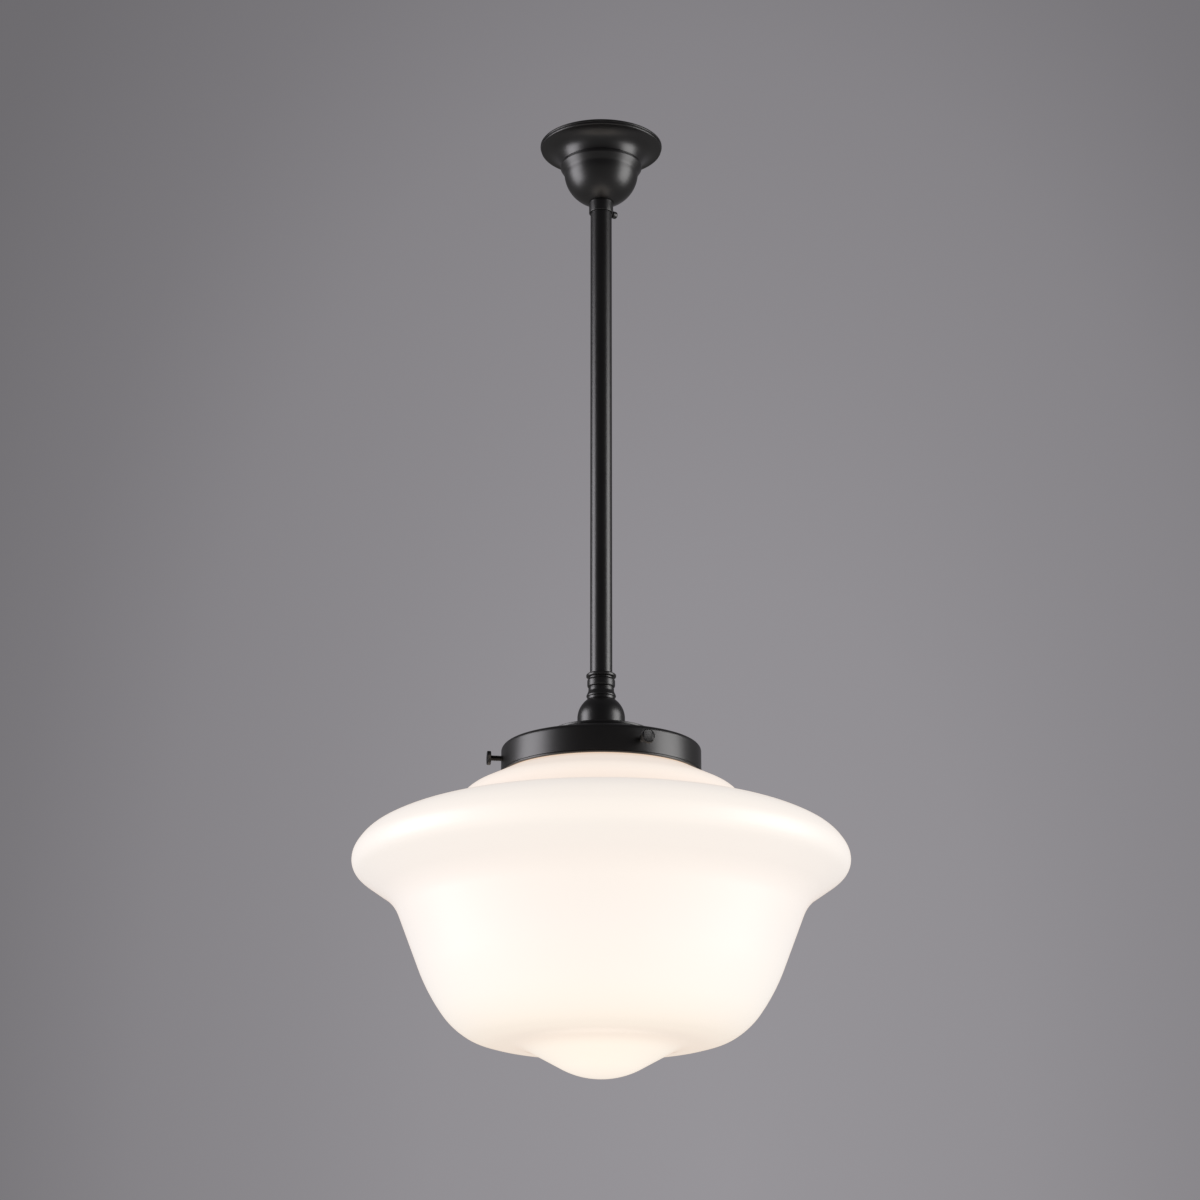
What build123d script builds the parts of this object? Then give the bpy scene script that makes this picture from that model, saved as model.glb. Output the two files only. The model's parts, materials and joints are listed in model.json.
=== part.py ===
from build123d import *
import os
from math import atan2, cos, pi, radians, sin, sqrt, tan

# Schoolhouse pendant light: ceiling plate, swivel, sliding canopy, straight rod, turned collar,
# three-screw gallery, opal glass shade and screw-in lamp.
# Millimetres, +Z up. The origin is the centre of the ceiling plate's face on the ceiling,
# so every height below is negative. The shade's screws are seen from -Y.

# Clearances
running_gap = 0.05     # radial, where one piece turns or slides on another
turning_gap = 0.1      # between flat faces that turn against each other
thread_gap = 0.03      # radial, between pieces screwed or pushed together for good
clear_gap = 0.3        # between pieces of different bodies that only come close

# Ceiling plate: a strap with its middle cranked down
plate_length = 82.0
plate_width = 18.0
plate_thickness = 2.0
plate_corner = 4.0
crank_depth = 6.0
crank_half_length = 18.0
crank_run = 3.5
slot_spacing = 57.0
slot_length = 12.0
slot_width = 4.6
earth_screw_radius = 2.0
earth_screw_length = 6.0
earth_head_radius = 3.5
earth_head_height = 2.4
earth_washer_radius = 4.2
earth_washer_height = 1.0
earth_screw_x = 14.0
screw_slot_width = 0.9
screw_slot_depth = 1.0

# Swivel: forked stud, washer, nut, pivot pin and clip
stud_radius = 5.0
stud_end_below_ceiling = 1.0
flange_radius = 8.0
flange_thickness = 2.0
pivot_below_flange = 5.9
ear_thickness = 3.0
ear_radius = 5.0
swivel_washer_radius = 8.5
swivel_washer_height = 1.0
swivel_nut_flats = 15.0
swivel_nut_height = 3.4
pin_radius = 2.0
pin_head_radius = 3.3
pin_head_height = 1.5
pin_tail = 1.6
clip_groove_depth = 0.35
clip_radius = 3.6
clip_thickness = 0.6
clip_inset = 0.3

# Rod head, the eye at the top of the rod
tongue_thickness = 8.0
tongue_radius = 4.5
head_below_pivot = 7.0
head_height = 11.0
head_roof = 2.5
spigot_length = 8.0
head_bore = 4.5
window_sill = 0.8

# Rod
rod_radius = 8.0
rod_wall = 1.0
rod_length = 400.0
bush_length = 12.0

# Wires through the rod
wire_radius = 0.95
wire_spacing = 2.2
wire_bend = 5.7
pole_spacing = 6.5
wire_below_head = 5.5
wire_below_nipple = 1.2
wire_foot_run = 3.0
wire_block_run = 2.5

# Terminal block beside the rod head
block_length = 20.0
block_depth = 10.5
block_height = 9.0
block_gap = 2.5
block_corner = 1.2
terminal_screw_radius = 1.4
terminal_screw_height = 2.0
terminal_hole_depth = 3.0
terminal_screw_inset = 2.6

# Canopy, spun from sheet
canopy_radius = 46.1
canopy_wall = 0.9
rim_height = 3.5
rim_bead = 0.5
crease_radius = 29.6
crease_drop = 16.8
step_radius = 30.7
step_height = 1.6
cup_radius = 26.8
cup_centre_radius = 1.15
cup_centre_drop = 21.6
cup_top_drop = 23.0
canopy_hole_gap = 0.4

# Slip ring under the canopy, with its screw
ring_wall = 1.1
ring_height = 8.8
ring_screw_azimuth = 35.0
ring_screw_drop = 6.8
ring_screw_radius = 1.25
ring_screw_head_radius = 2.7
ring_screw_head_length = 4.1
ring_screw_dome = 1.1
ring_screw_standoff = 0.8

# Turned collar round the rod's lower end, each line of it so far out from the rod
collar_height = 19.2
collar_floor = 2.6
collar_flange_out = 2.75
collar_neck_out = 1.65
collar_flange_middle = 1.9
collar_flange_height = 3.2
collar_step_height = 0.4
collar_band_out = 2.0
collar_band_height = 6.6
collar_groove_out = 1.1
collar_groove_height = 0.6
collar_cove_out = 1.2
collar_cove_height = 2.6
collar_flare_height = 3.2
collar_foot_out = 2.65
collar_edge_out = 2.0
collar_foot_round = 0.1
collar_foot_middle = 0.7
collar_foot_height = 1.2

# Half-ball cap
ball_radius = 17.04
ball_skirt = 10.0
ball_wall = 1.2

# Raised crown on the gallery
crown_radius = 35.5
crown_height = 11.6
crown_wall = 1.2
crown_edge = 1.6
crown_step = 0.6
crown_round = 0.8

# Nipple that clamps the stack
nipple_radius = 5.0
nipple_bore = 3.5
nipple_hole_gap = 0.15
clamp_washer_radius = 9.0
clamp_washer_height = 1.0
clamp_nut_flats = 15.0
clamp_nut_height = 4.0

# Glass fitter: the shade's lip sets the gallery
lip_radius = 66.7
lip_height = 3.0
lip_overhang = 3.0
lip_to_gallery = 3.25
gallery_wall = 1.2
gallery_height = 20.9
gallery_shoulder = 3.0
bead_height = 1.6
bead_proud = 0.25
bead_groove = 0.35

# Thumb screws through the gallery, a little unevenly spaced as the photo shows them
thumb_azimuths = [-66.6, 61.2, 189.0]
thumb_above_rim = 10.4
thumb_radius = 2.0
thumb_standoff = 8.05
thumb_head_radius = 5.0
thumb_head_thickness = 2.4
thumb_head_round = 0.5
thumb_knurls = 28
knurl_depth = 0.3
knurl_radius = 0.45
thumb_boss_radius = 3.8
thumb_boss_length = 1.9

# Glass shade. Each corner of its outline is rounded. Rises and drops are from the gallery's
# lower edge, and insets are inwards from the widest line.
shade_radius = 175.1
shade_wall = 3.6
neck_root_rise = 2.9
neck_root_round = 5.0
cone_out = 26.35       # outwards from the gallery's wall
cone_drop = 13.6
cone_round = 22.0
notch_out = 34.85      # outwards from the gallery's wall
notch_drop = 29.5
notch_round = 5.0
shoulder_inset = 27.6
shoulder_drop = 35.5
shoulder_round = 80.0
brim_top_inset = 7.2
brim_top_drop = 47.0
brim_top_round = 31.0
widest_top_drop = 58.5
widest_top_round = 15.0
widest_foot_drop = 68.05
widest_foot_round = 12.0
brim_foot_inset = 5.2
brim_foot_drop = 73.1
brim_foot_round = 25.0
waist_inset = 29.4
waist_drop = 90.0
waist_round = 36.0
bowl_inset = 53.5
bowl_drop = 152.9
bowl_round = 140.0
turn_inset = 70.3
turn_drop = 177.3
turn_round = 56.0
foot_inset = 84.5
foot_drop = 186.2
foot_round = 34.0
ring_out_inset = 99.1
ring_out_drop = 190.2
ring_out_round = 50.0
ring_in_inset = 119.1
ring_in_drop = 191.2
ring_in_round = 35.0
tip_radius = 15.3
tip_drop = 213.4
tip_round = 58.0

# Lampholder
holder_neck_radius = 9.0
holder_neck_height = 8.1
holder_radius = 19.5
holder_cap_wall = 0.9
holder_skirt = 10.5
holder_body_proud = 0.7
holder_body_height = 34.0
holder_lip = 1.2
socket_room = 0.35
spigot_height = 3.0
insert_radius = 18.2
insert_height = 4.5
screw_shell_wall = 0.6
screw_shell_gap = 0.3
screw_shell_height = 32.0
terminal_x = 8.0
terminal_size = 4.4
terminal_height = 3.5
terminal_bore_width = 1.8
terminal_bore_depth = 1.2
holder_screw_radius = 1.3
holder_screw_standoff = 1.2
earth_tag_width = 4.0
earth_tag_length = 13.5
earth_tag_height = 1.0
contact_width = 5.0
contact_thickness = 0.6
contact_reach = 3.7
contact_root = 8.0

# Lamp
lamp_cap_radius = 13.05
lamp_thread_depth = 0.75
lamp_thread_pitch = 3.62
lamp_thread_turns = 5
lamp_cap_height = 22.5
lamp_cap_skirt = 3.0
lamp_tip_radius = 4.6
lamp_tip_height = 1.2
lamp_insulator_height = 3.4
lamp_insulator_top = 5.6
lamp_insulator_radius = 11.6
lamp_neck_step = 0.25
lamp_neck_height = 8.4
lamp_radius = 30.0
lamp_body_height = 37.5
lamp_diffuser_height = 43.5
lamp_diffuser_wall = 1.6

# Radii that follow the rod, the lampholder and the lamp's cap
ring_radius = rod_radius + ring_wall
block_face = rod_radius + block_gap
collar_flange_radius = rod_radius + collar_flange_out
collar_flange_neck = rod_radius + collar_neck_out
collar_band_radius = rod_radius + collar_band_out
collar_groove_radius = rod_radius + collar_groove_out
collar_cove_radius = rod_radius + collar_cove_out
collar_foot_radius = rod_radius + collar_foot_out
collar_foot_edge = rod_radius + collar_edge_out
ball_top_radius = collar_foot_edge
holder_body_radius = holder_radius + holder_body_proud
socket_radius = lamp_cap_radius + screw_shell_gap + screw_shell_wall + socket_room
lamp_neck_radius = lamp_cap_radius + lamp_neck_step

# Heights, worked out from the ceiling down
plate_face = -crank_depth
plate_underside = plate_face - plate_thickness
flange_top = plate_underside - turning_gap
flange_underside = flange_top - flange_thickness
pivot_z = flange_underside - pivot_below_flange
head_top = pivot_z - head_below_pivot
rod_top = head_top - head_height
rod_end = rod_top - rod_length
collar_top = rod_end + collar_height - collar_floor
collar_end = rod_end - collar_floor
ball_centre = collar_end - sqrt(ball_radius**2 - ball_top_radius**2)
crown_top = ball_centre - ball_skirt
gallery_top = crown_top - crown_height
gallery_end = gallery_top - gallery_height
clamp_top = gallery_top - gallery_wall
clamp_end = clamp_top - clamp_washer_height - clamp_nut_height
holder_top = clamp_end - thread_gap
nipple_top = rod_end + bush_length
nipple_end = holder_top - holder_neck_height - holder_cap_wall
holder_shoulder = holder_top - holder_neck_height - (holder_radius - holder_neck_radius)
insert_top = holder_shoulder - holder_skirt + spigot_height + insert_height
insert_end = insert_top - insert_height
body_top = holder_shoulder - holder_skirt
body_end = body_top - holder_body_height
contact_end = insert_end - contact_thickness - contact_reach
lamp_top = contact_end - clear_gap
lamp_cap_top = lamp_top - lamp_tip_height - lamp_insulator_height
lamp_cap_end = lamp_cap_top - lamp_cap_height
lamp_seam = lamp_cap_end - lamp_body_height
wire_bend_z = head_top - wire_below_head
canopy_base_radius = ring_radius + canopy_hole_gap
canopy_end = -cup_centre_drop - sqrt(cup_radius**2 - (canopy_base_radius - cup_centre_radius)**2)
ring_end = canopy_end - ring_height

# Radii shared by pieces that fit each other
rod_bore = rod_radius - rod_wall
nipple_hole = nipple_radius + nipple_hole_gap
gallery_bore = lip_radius + lip_to_gallery
gallery_radius = gallery_bore + gallery_wall
neck_radius = lip_radius - lip_overhang
thumb_z = gallery_end + thumb_above_rim
thumb_tip = neck_radius + clear_gap
thumb_head_inner = gallery_radius + thumb_standoff
lip_underside = thumb_z + thumb_radius + clear_gap
lip_top = lip_underside + lip_height
ring_screw_z = canopy_end - ring_screw_drop
ring_screw_tip = rod_radius + turning_gap
ring_screw_head_inner = ring_radius + ring_screw_standoff


def radial_plane(azimuth, radius, height):
    """A plane at a radius and height that faces straight out from the lamp's axis."""
    out = Vector(cos(radians(azimuth)), sin(radians(azimuth)), 0)
    return Plane(origin=out * radius + Vector(0, 0, height), x_dir=(0, 0, 1), z_dir=out)


def hexagon_radius(flats):
    """The corner radius of a hexagon from its width across flats."""
    return flats / 2 / cos(pi / 6)


# Ceiling plate
ramp_shift = plate_thickness * tan(atan2(crank_depth, crank_run) / 2)
crank_end = crank_half_length + crank_run
with BuildPart() as ceiling_plate:
    with BuildSketch(Plane.XZ) as plate_side:
        with BuildLine():
            Polyline(
                (0, plate_face),
                (crank_half_length, plate_face),
                (crank_end, 0),
                (plate_length / 2, 0),
                (plate_length / 2, -plate_thickness),
                (crank_end + ramp_shift, -plate_thickness),
                (crank_half_length + ramp_shift, plate_underside),
                (0, plate_underside),
                close=True,
            )
        make_face()
        mirror(about=Plane.YZ)
    extrude(amount=plate_width / 2, both=True)
    fillet(
        ceiling_plate.edges().filter_by(Axis.Z).group_by(SortBy.LENGTH)[0],
        radius=plate_corner,
    )
    with BuildSketch(Plane.XY):
        with GridLocations(slot_spacing, 0, 2, 1):
            SlotOverall(slot_length, slot_width)
    extrude(amount=-plate_thickness, mode=Mode.SUBTRACT)
    with BuildSketch(Plane.XY.offset(plate_face)):
        Circle(stud_radius + running_gap)
        with Locations((earth_screw_x, 0)):
            Circle(earth_screw_radius + thread_gap)
    extrude(amount=-plate_thickness, mode=Mode.SUBTRACT)

# Earth screw and its washer, from below
earth_head_top = plate_underside - earth_washer_height
with BuildPart() as earth_washer:
    with BuildSketch(Plane.XY.offset(plate_underside)):
        with Locations((earth_screw_x, 0)):
            Circle(earth_washer_radius)
            Circle(earth_screw_radius + thread_gap, mode=Mode.SUBTRACT)
    extrude(amount=-earth_washer_height)

with BuildPart() as earth_screw:
    with BuildSketch(Plane.XY.offset(earth_head_top)):
        with Locations((earth_screw_x, 0)):
            Circle(earth_head_radius)
    extrude(amount=-earth_head_height)
    fillet(earth_screw.edges().group_by(Axis.Z)[0], radius=earth_head_height / 3)
    with BuildSketch(Plane.XY.offset(earth_head_top)):
        with Locations((earth_screw_x, 0)):
            Circle(earth_screw_radius)
    extrude(amount=earth_screw_length)
    with BuildSketch(Plane.XY.offset(earth_head_top - earth_head_height)):
        with Locations((earth_screw_x, 0)):
            Rectangle(earth_head_radius * 3, screw_slot_width)
    extrude(amount=screw_slot_depth, mode=Mode.SUBTRACT)

# Swivel: forked stud
ear_inner = tongue_thickness / 2 + turning_gap
ear_outer = ear_inner + ear_thickness
with BuildPart() as swivel_fork:
    with BuildSketch(Plane.XY.offset(flange_top)):
        Circle(flange_radius)
    extrude(amount=-flange_thickness)
    with BuildSketch(Plane.XY.offset(flange_top)):
        Circle(stud_radius)
    extrude(amount=-stud_end_below_ceiling - flange_top)
    with BuildSketch(Plane.YZ.offset(ear_inner)) as ear_side:
        with Locations((0, pivot_z)):
            Circle(ear_radius)
        with Locations((0, (pivot_z + flange_underside) / 2)):
            Rectangle(2 * ear_radius, pivot_below_flange)
        with Locations((0, pivot_z)):
            Circle(pin_radius + thread_gap, mode=Mode.SUBTRACT)
    extrude(amount=ear_thickness)
    mirror(about=Plane.YZ)

washer_base = plate_face + turning_gap
with BuildPart() as swivel_washer:
    with BuildSketch(Plane.XY.offset(washer_base)):
        Circle(swivel_washer_radius)
        Circle(stud_radius + thread_gap, mode=Mode.SUBTRACT)
    extrude(amount=swivel_washer_height)

with BuildPart() as swivel_nut:
    with BuildSketch(Plane.XY.offset(washer_base + swivel_washer_height)):
        RegularPolygon(hexagon_radius(swivel_nut_flats), 6)
        Circle(stud_radius + thread_gap, mode=Mode.SUBTRACT)
    extrude(amount=swivel_nut_height)

# Pivot pin with a head at +X and a clip in a groove at -X
groove_start = ear_outer + clip_inset
with BuildPart() as pivot_pin:
    with BuildSketch(Plane.YZ.offset(-ear_outer - pin_tail)):
        with Locations((0, pivot_z)):
            Circle(pin_radius)
    extrude(amount=2 * ear_outer + pin_tail)
    with BuildSketch(Plane.YZ.offset(ear_outer)):
        with Locations((0, pivot_z)):
            Circle(pin_head_radius)
    extrude(amount=pin_head_height)
    with BuildSketch(Plane.YZ.offset(-groove_start)):
        with Locations((0, pivot_z)):
            Circle(pin_radius)
            Circle(pin_radius - clip_groove_depth, mode=Mode.SUBTRACT)
    extrude(amount=-clip_thickness - 2 * thread_gap, mode=Mode.SUBTRACT)

with BuildPart() as pin_clip:
    with BuildSketch(Plane.YZ.offset(-groove_start - thread_gap)):
        with Locations((0, pivot_z)):
            Circle(clip_radius)
            Circle(pin_radius - clip_groove_depth + thread_gap, mode=Mode.SUBTRACT)
        with Locations((0, pivot_z - clip_radius)):
            Rectangle(pin_radius, 2 * clip_radius, mode=Mode.SUBTRACT)
    extrude(amount=-clip_thickness)

# Rod head: tongue, round block with a window at +Y, and a spigot inside the rod
window_top = head_top - head_roof
with BuildPart() as rod_head:
    with BuildSketch(Plane.YZ.offset(-tongue_thickness / 2)):
        with Locations((0, pivot_z)):
            Circle(tongue_radius)
        with Locations((0, (pivot_z + head_top) / 2)):
            Rectangle(2 * tongue_radius, head_below_pivot)
    extrude(amount=tongue_thickness)
    with BuildSketch(Plane.XY.offset(head_top)):
        Circle(rod_radius)
    extrude(amount=-head_height)
    with BuildSketch(Plane.XY.offset(rod_top)):
        Circle(rod_bore - thread_gap)
    extrude(amount=-spigot_length)
    with BuildSketch(Plane.XY.offset(rod_top - spigot_length)):
        Circle(head_bore)
    extrude(amount=spigot_length + head_height - head_roof, mode=Mode.SUBTRACT)
    with BuildSketch(Plane.XY.offset(window_top)):
        with Locations((0, rod_radius)):
            Rectangle(2 * rod_radius, 2 * rod_radius)
    extrude(amount=-(head_height - head_roof - window_sill), mode=Mode.SUBTRACT)
    with BuildSketch(Plane.YZ.offset(-tongue_thickness)):
        with Locations((0, pivot_z)):
            Circle(pin_radius + running_gap)
    extrude(amount=2 * tongue_thickness, mode=Mode.SUBTRACT)

# Rod and its lower threaded bush
with BuildPart() as down_rod:
    with BuildSketch(Plane.XY.offset(rod_top)):
        Circle(rod_radius)
        Circle(rod_bore, mode=Mode.SUBTRACT)
    extrude(amount=-rod_length)

with BuildPart() as rod_bush:
    with BuildSketch(Plane.XY.offset(rod_end)):
        Circle(rod_bore - thread_gap)
        Circle(nipple_radius + thread_gap, mode=Mode.SUBTRACT)
    extrude(amount=bush_length)

# Terminal block held on the wires' upper ends
block_top = wire_bend_z + block_height / 2
pole_x = [-pole_spacing, 0, pole_spacing]
screw_y = [block_face + terminal_screw_inset, block_face + block_depth - terminal_screw_inset]
screw_spots = [(x, y) for x in pole_x for y in screw_y]
with BuildPart() as terminal_block:
    with BuildSketch(Plane.XY.offset(block_top)):
        with Locations((0, block_face + block_depth / 2)):
            RectangleRounded(block_length, block_depth, block_corner)
    extrude(amount=-block_height)
    with BuildSketch(Plane.XY.offset(block_top)):
        with Locations(*screw_spots):
            Circle(terminal_screw_radius + thread_gap)
    extrude(amount=-terminal_hole_depth, mode=Mode.SUBTRACT)

with BuildPart() as terminal_screws:
    with BuildSketch(Plane.XY.offset(block_top - terminal_hole_depth)):
        with Locations(*screw_spots):
            Circle(terminal_screw_radius)
    extrude(amount=terminal_screw_height)
    with BuildSketch(Plane.XY.offset(block_top - terminal_hole_depth + terminal_screw_height)):
        with Locations(*screw_spots):
            Rectangle(3 * terminal_screw_radius, terminal_screw_radius / 3)
    extrude(amount=-terminal_screw_height / 3, mode=Mode.SUBTRACT)

# Canopy shell: bead at the rim, flare, small step and deep cup
rim_inner = canopy_radius - rim_bead - canopy_wall
flare_width = rim_inner - crease_radius
flare_height = crease_drop - rim_height
step_end = -crease_drop - step_height
cup_inner = cup_radius - canopy_wall
canopy_hole = rod_radius + canopy_hole_gap


def cup_at(radius, height):
    """How far the cup's wall of this radius stands from the axis at a height."""
    return cup_centre_radius + sqrt(radius**2 - (height + cup_centre_drop)**2)


def cup_middle(radius):
    """The point of the cup's wall half way round its bend."""
    reach = radius * sin(pi / 4)
    return (cup_centre_radius + reach, -cup_centre_drop - reach)


with BuildPart() as canopy_shell:
    with BuildSketch(Plane.XZ):
        with BuildLine():
            Polyline(
                (rim_inner, 0),
                (canopy_radius, 0),
                (canopy_radius, -rim_height / 2),
                (canopy_radius - rim_bead, -rim_height / 2),
                (canopy_radius - rim_bead, -rim_height),
                (rim_inner, -rim_height),
            )
            EllipticalCenterArc((rim_inner, -crease_drop), flare_width, flare_height, 90, arc_size=90)
            Polyline(
                (crease_radius, -crease_drop),
                (step_radius, -crease_drop),
                (step_radius, step_end),
                (cup_at(cup_radius, -cup_top_drop), -cup_top_drop),
            )
            ThreePointArc(
                (cup_at(cup_radius, -cup_top_drop), -cup_top_drop),
                cup_middle(cup_radius),
                (canopy_base_radius, canopy_end),
            )
            Polyline(
                (canopy_base_radius, canopy_end),
                (canopy_hole, canopy_end),
                (canopy_hole, canopy_end + canopy_wall),
                (canopy_base_radius, canopy_end + canopy_wall),
            )
            ThreePointArc(
                (canopy_base_radius, canopy_end + canopy_wall),
                cup_middle(cup_inner),
                (cup_at(cup_inner, -cup_top_drop), -cup_top_drop),
            )
            Polyline(
                (cup_at(cup_inner, -cup_top_drop), -cup_top_drop),
                (step_radius - canopy_wall, step_end),
                (step_radius - canopy_wall, -crease_drop - canopy_wall),
                (crease_radius - canopy_wall, -crease_drop),
            )
            EllipticalCenterArc(
                (rim_inner, -crease_drop),
                flare_width + canopy_wall,
                flare_height + canopy_wall,
                90,
                arc_size=90,
            )
            Line((rim_inner, -rim_height + canopy_wall), (rim_inner, 0))
        make_face()
    revolve(axis=Axis.Z)

# Slip ring and its round-headed screw
with BuildPart() as slip_ring:
    with BuildSketch(Plane.XY.offset(canopy_end)):
        Circle(ring_radius)
        Circle(rod_radius + running_gap, mode=Mode.SUBTRACT)
    extrude(amount=-ring_height)
    with BuildSketch(radial_plane(ring_screw_azimuth, ring_screw_tip, ring_screw_z)):
        Circle(ring_screw_radius + running_gap)
    extrude(amount=ring_radius, mode=Mode.SUBTRACT)

with BuildPart() as ring_screw_shank:
    with BuildSketch(radial_plane(ring_screw_azimuth, ring_screw_tip, ring_screw_z)):
        Circle(ring_screw_radius)
    extrude(amount=ring_screw_head_inner - ring_screw_tip)

with BuildPart() as ring_screw_head:
    with BuildSketch(radial_plane(ring_screw_azimuth, ring_screw_head_inner, ring_screw_z)):
        Circle(ring_screw_head_radius)
    extrude(amount=ring_screw_head_length)
    head_edges = ring_screw_head.edges().sort_by_distance((0, 0, ring_screw_z))
    fillet(head_edges[-1], radius=ring_screw_dome)

# Turned collar: flange, rounded band, groove, cove and flared foot
collar_flange_end = collar_top - collar_flange_height
collar_band_top = collar_flange_end - collar_step_height
collar_band_end = collar_band_top - collar_band_height
collar_groove_end = collar_band_end - collar_groove_height
collar_cove_end = collar_groove_end - collar_cove_height
collar_foot_top = collar_cove_end - collar_flare_height
collar_foot_end = collar_foot_top - collar_foot_height
with BuildPart() as rod_collar:
    with BuildSketch(Plane.XZ):
        with BuildLine():
            Polyline(
                (nipple_hole, collar_end),
                (nipple_hole, rod_end),
                (rod_radius + thread_gap, rod_end),
                (rod_radius + thread_gap, collar_top),
                (collar_flange_neck, collar_top),
            )
            ThreePointArc(
                (collar_flange_neck, collar_top),
                (collar_flange_radius, collar_top - collar_flange_middle),
                (collar_flange_neck, collar_flange_end),
            )
            Line((collar_flange_neck, collar_flange_end), (collar_flange_neck, collar_band_top))
            ThreePointArc(
                (collar_flange_neck, collar_band_top),
                (collar_band_radius, (collar_band_top + collar_band_end) / 2),
                (collar_flange_neck, collar_band_end),
            )
            Polyline(
                (collar_flange_neck, collar_band_end),
                (collar_groove_radius, collar_band_end),
                (collar_groove_radius, collar_groove_end),
                (collar_cove_radius, collar_groove_end),
                (collar_cove_radius, collar_cove_end),
            )
            Spline(
                (collar_cove_radius, collar_cove_end),
                (collar_foot_radius, collar_foot_top),
                tangents=[(0, -1), (0.6, -1)],
            )
            ThreePointArc(
                (collar_foot_radius, collar_foot_top),
                (collar_foot_radius - collar_foot_round, collar_foot_top - collar_foot_middle),
                (collar_foot_edge, collar_foot_end),
            )
            Polyline(
                (collar_foot_edge, collar_foot_end),
                (collar_foot_edge, collar_end),
                (nipple_hole, collar_end),
            )
        make_face()
    revolve(axis=Axis.Z)

# Half-ball cap with a short straight skirt
ball_inner = ball_radius - ball_wall
inner_top = collar_end - ball_wall
inner_top_radius = sqrt(ball_inner**2 - (inner_top - ball_centre)**2)
ball_middle = radians(30)
with BuildPart() as ball_cap:
    with BuildSketch(Plane.XZ):
        with BuildLine():
            Line((nipple_hole, inner_top), (nipple_hole, collar_end))
            Line((nipple_hole, collar_end), (ball_top_radius, collar_end))
            ThreePointArc(
                (ball_top_radius, collar_end),
                (ball_radius * cos(ball_middle), ball_centre + ball_radius * sin(ball_middle)),
                (ball_radius, ball_centre),
            )
            Polyline(
                (ball_radius, ball_centre),
                (ball_radius, crown_top),
                (ball_inner, crown_top),
                (ball_inner, ball_centre),
            )
            ThreePointArc(
                (ball_inner, ball_centre),
                (ball_inner * cos(ball_middle), ball_centre + ball_inner * sin(ball_middle)),
                (inner_top_radius, inner_top),
            )
            Line((inner_top_radius, inner_top), (nipple_hole, inner_top))
        make_face()
    revolve(axis=Axis.Z)

# Raised crown, a shallow spun cap on the gallery
with BuildPart() as crown_cap:
    with BuildSketch(Plane.XZ):
        with BuildLine():
            Polyline(
                (nipple_hole, crown_top),
                (crown_radius, crown_top),
                (crown_radius, crown_top - crown_edge),
                (crown_radius - crown_step, crown_top - crown_edge),
                (crown_radius - crown_step, gallery_top),
                (crown_radius - crown_step - crown_wall, gallery_top),
                (crown_radius - crown_step - crown_wall, crown_top - crown_wall),
                (nipple_hole, crown_top - crown_wall),
                close=True,
            )
        make_face()
    revolve(axis=Axis.Z)
    fillet(crown_cap.edges().group_by(Axis.Z)[-1].sort_by(SortBy.RADIUS)[-1], radius=crown_round)

# Gallery: top plate, rounded shoulder, straight wall with a rolled bead, and three screw bosses
bead_top = gallery_end + bead_height
with BuildPart() as gallery:
    with BuildSketch(Plane.XZ):
        with BuildLine():
            Line((nipple_hole, gallery_top), (gallery_radius - gallery_shoulder, gallery_top))
            JernArc(
                (gallery_radius - gallery_shoulder, gallery_top),
                (1, 0),
                gallery_shoulder,
                -90,
            )
            Polyline(
                (gallery_radius, gallery_top - gallery_shoulder),
                (gallery_radius, bead_top + bead_groove),
                (gallery_radius - bead_groove, bead_top + bead_groove / 2),
                (gallery_radius, bead_top),
                (gallery_radius + bead_proud, bead_top - bead_proud),
                (gallery_radius + bead_proud, gallery_end + bead_proud),
                (gallery_radius, gallery_end),
                (gallery_bore, gallery_end),
                (gallery_bore, gallery_top - gallery_shoulder),
            )
            JernArc(
                (gallery_bore, gallery_top - gallery_shoulder),
                (0, 1),
                gallery_shoulder - gallery_wall,
                90,
            )
            Polyline(
                (gallery_radius - gallery_shoulder, gallery_top - gallery_wall),
                (nipple_hole, gallery_top - gallery_wall),
                (nipple_hole, gallery_top),
            )
        make_face()
    revolve(axis=Axis.Z)
    for azimuth in thumb_azimuths:
        with BuildSketch(radial_plane(azimuth, gallery_bore - thumb_boss_length, thumb_z)):
            Circle(thumb_boss_radius)
        extrude(amount=thumb_boss_length + gallery_wall / 2)
    for azimuth in thumb_azimuths:
        with BuildSketch(radial_plane(azimuth, thumb_tip, thumb_z)):
            Circle(thumb_radius + running_gap)
        extrude(amount=gallery_radius, mode=Mode.SUBTRACT)

# Nipple, washer and nut
with BuildPart() as threaded_nipple:
    with BuildSketch(Plane.XY.offset(nipple_top)):
        Circle(nipple_radius)
        Circle(nipple_bore, mode=Mode.SUBTRACT)
    extrude(amount=nipple_end - nipple_top)

with BuildPart() as clamp_washer:
    with BuildSketch(Plane.XY.offset(clamp_top)):
        Circle(clamp_washer_radius)
        Circle(nipple_hole, mode=Mode.SUBTRACT)
    extrude(amount=-clamp_washer_height)

with BuildPart() as clamp_nut:
    with BuildSketch(Plane.XY.offset(clamp_top - clamp_washer_height)):
        RegularPolygon(hexagon_radius(clamp_nut_flats), 6)
        Circle(nipple_radius + thread_gap, mode=Mode.SUBTRACT)
    extrude(amount=-clamp_nut_height)

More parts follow.
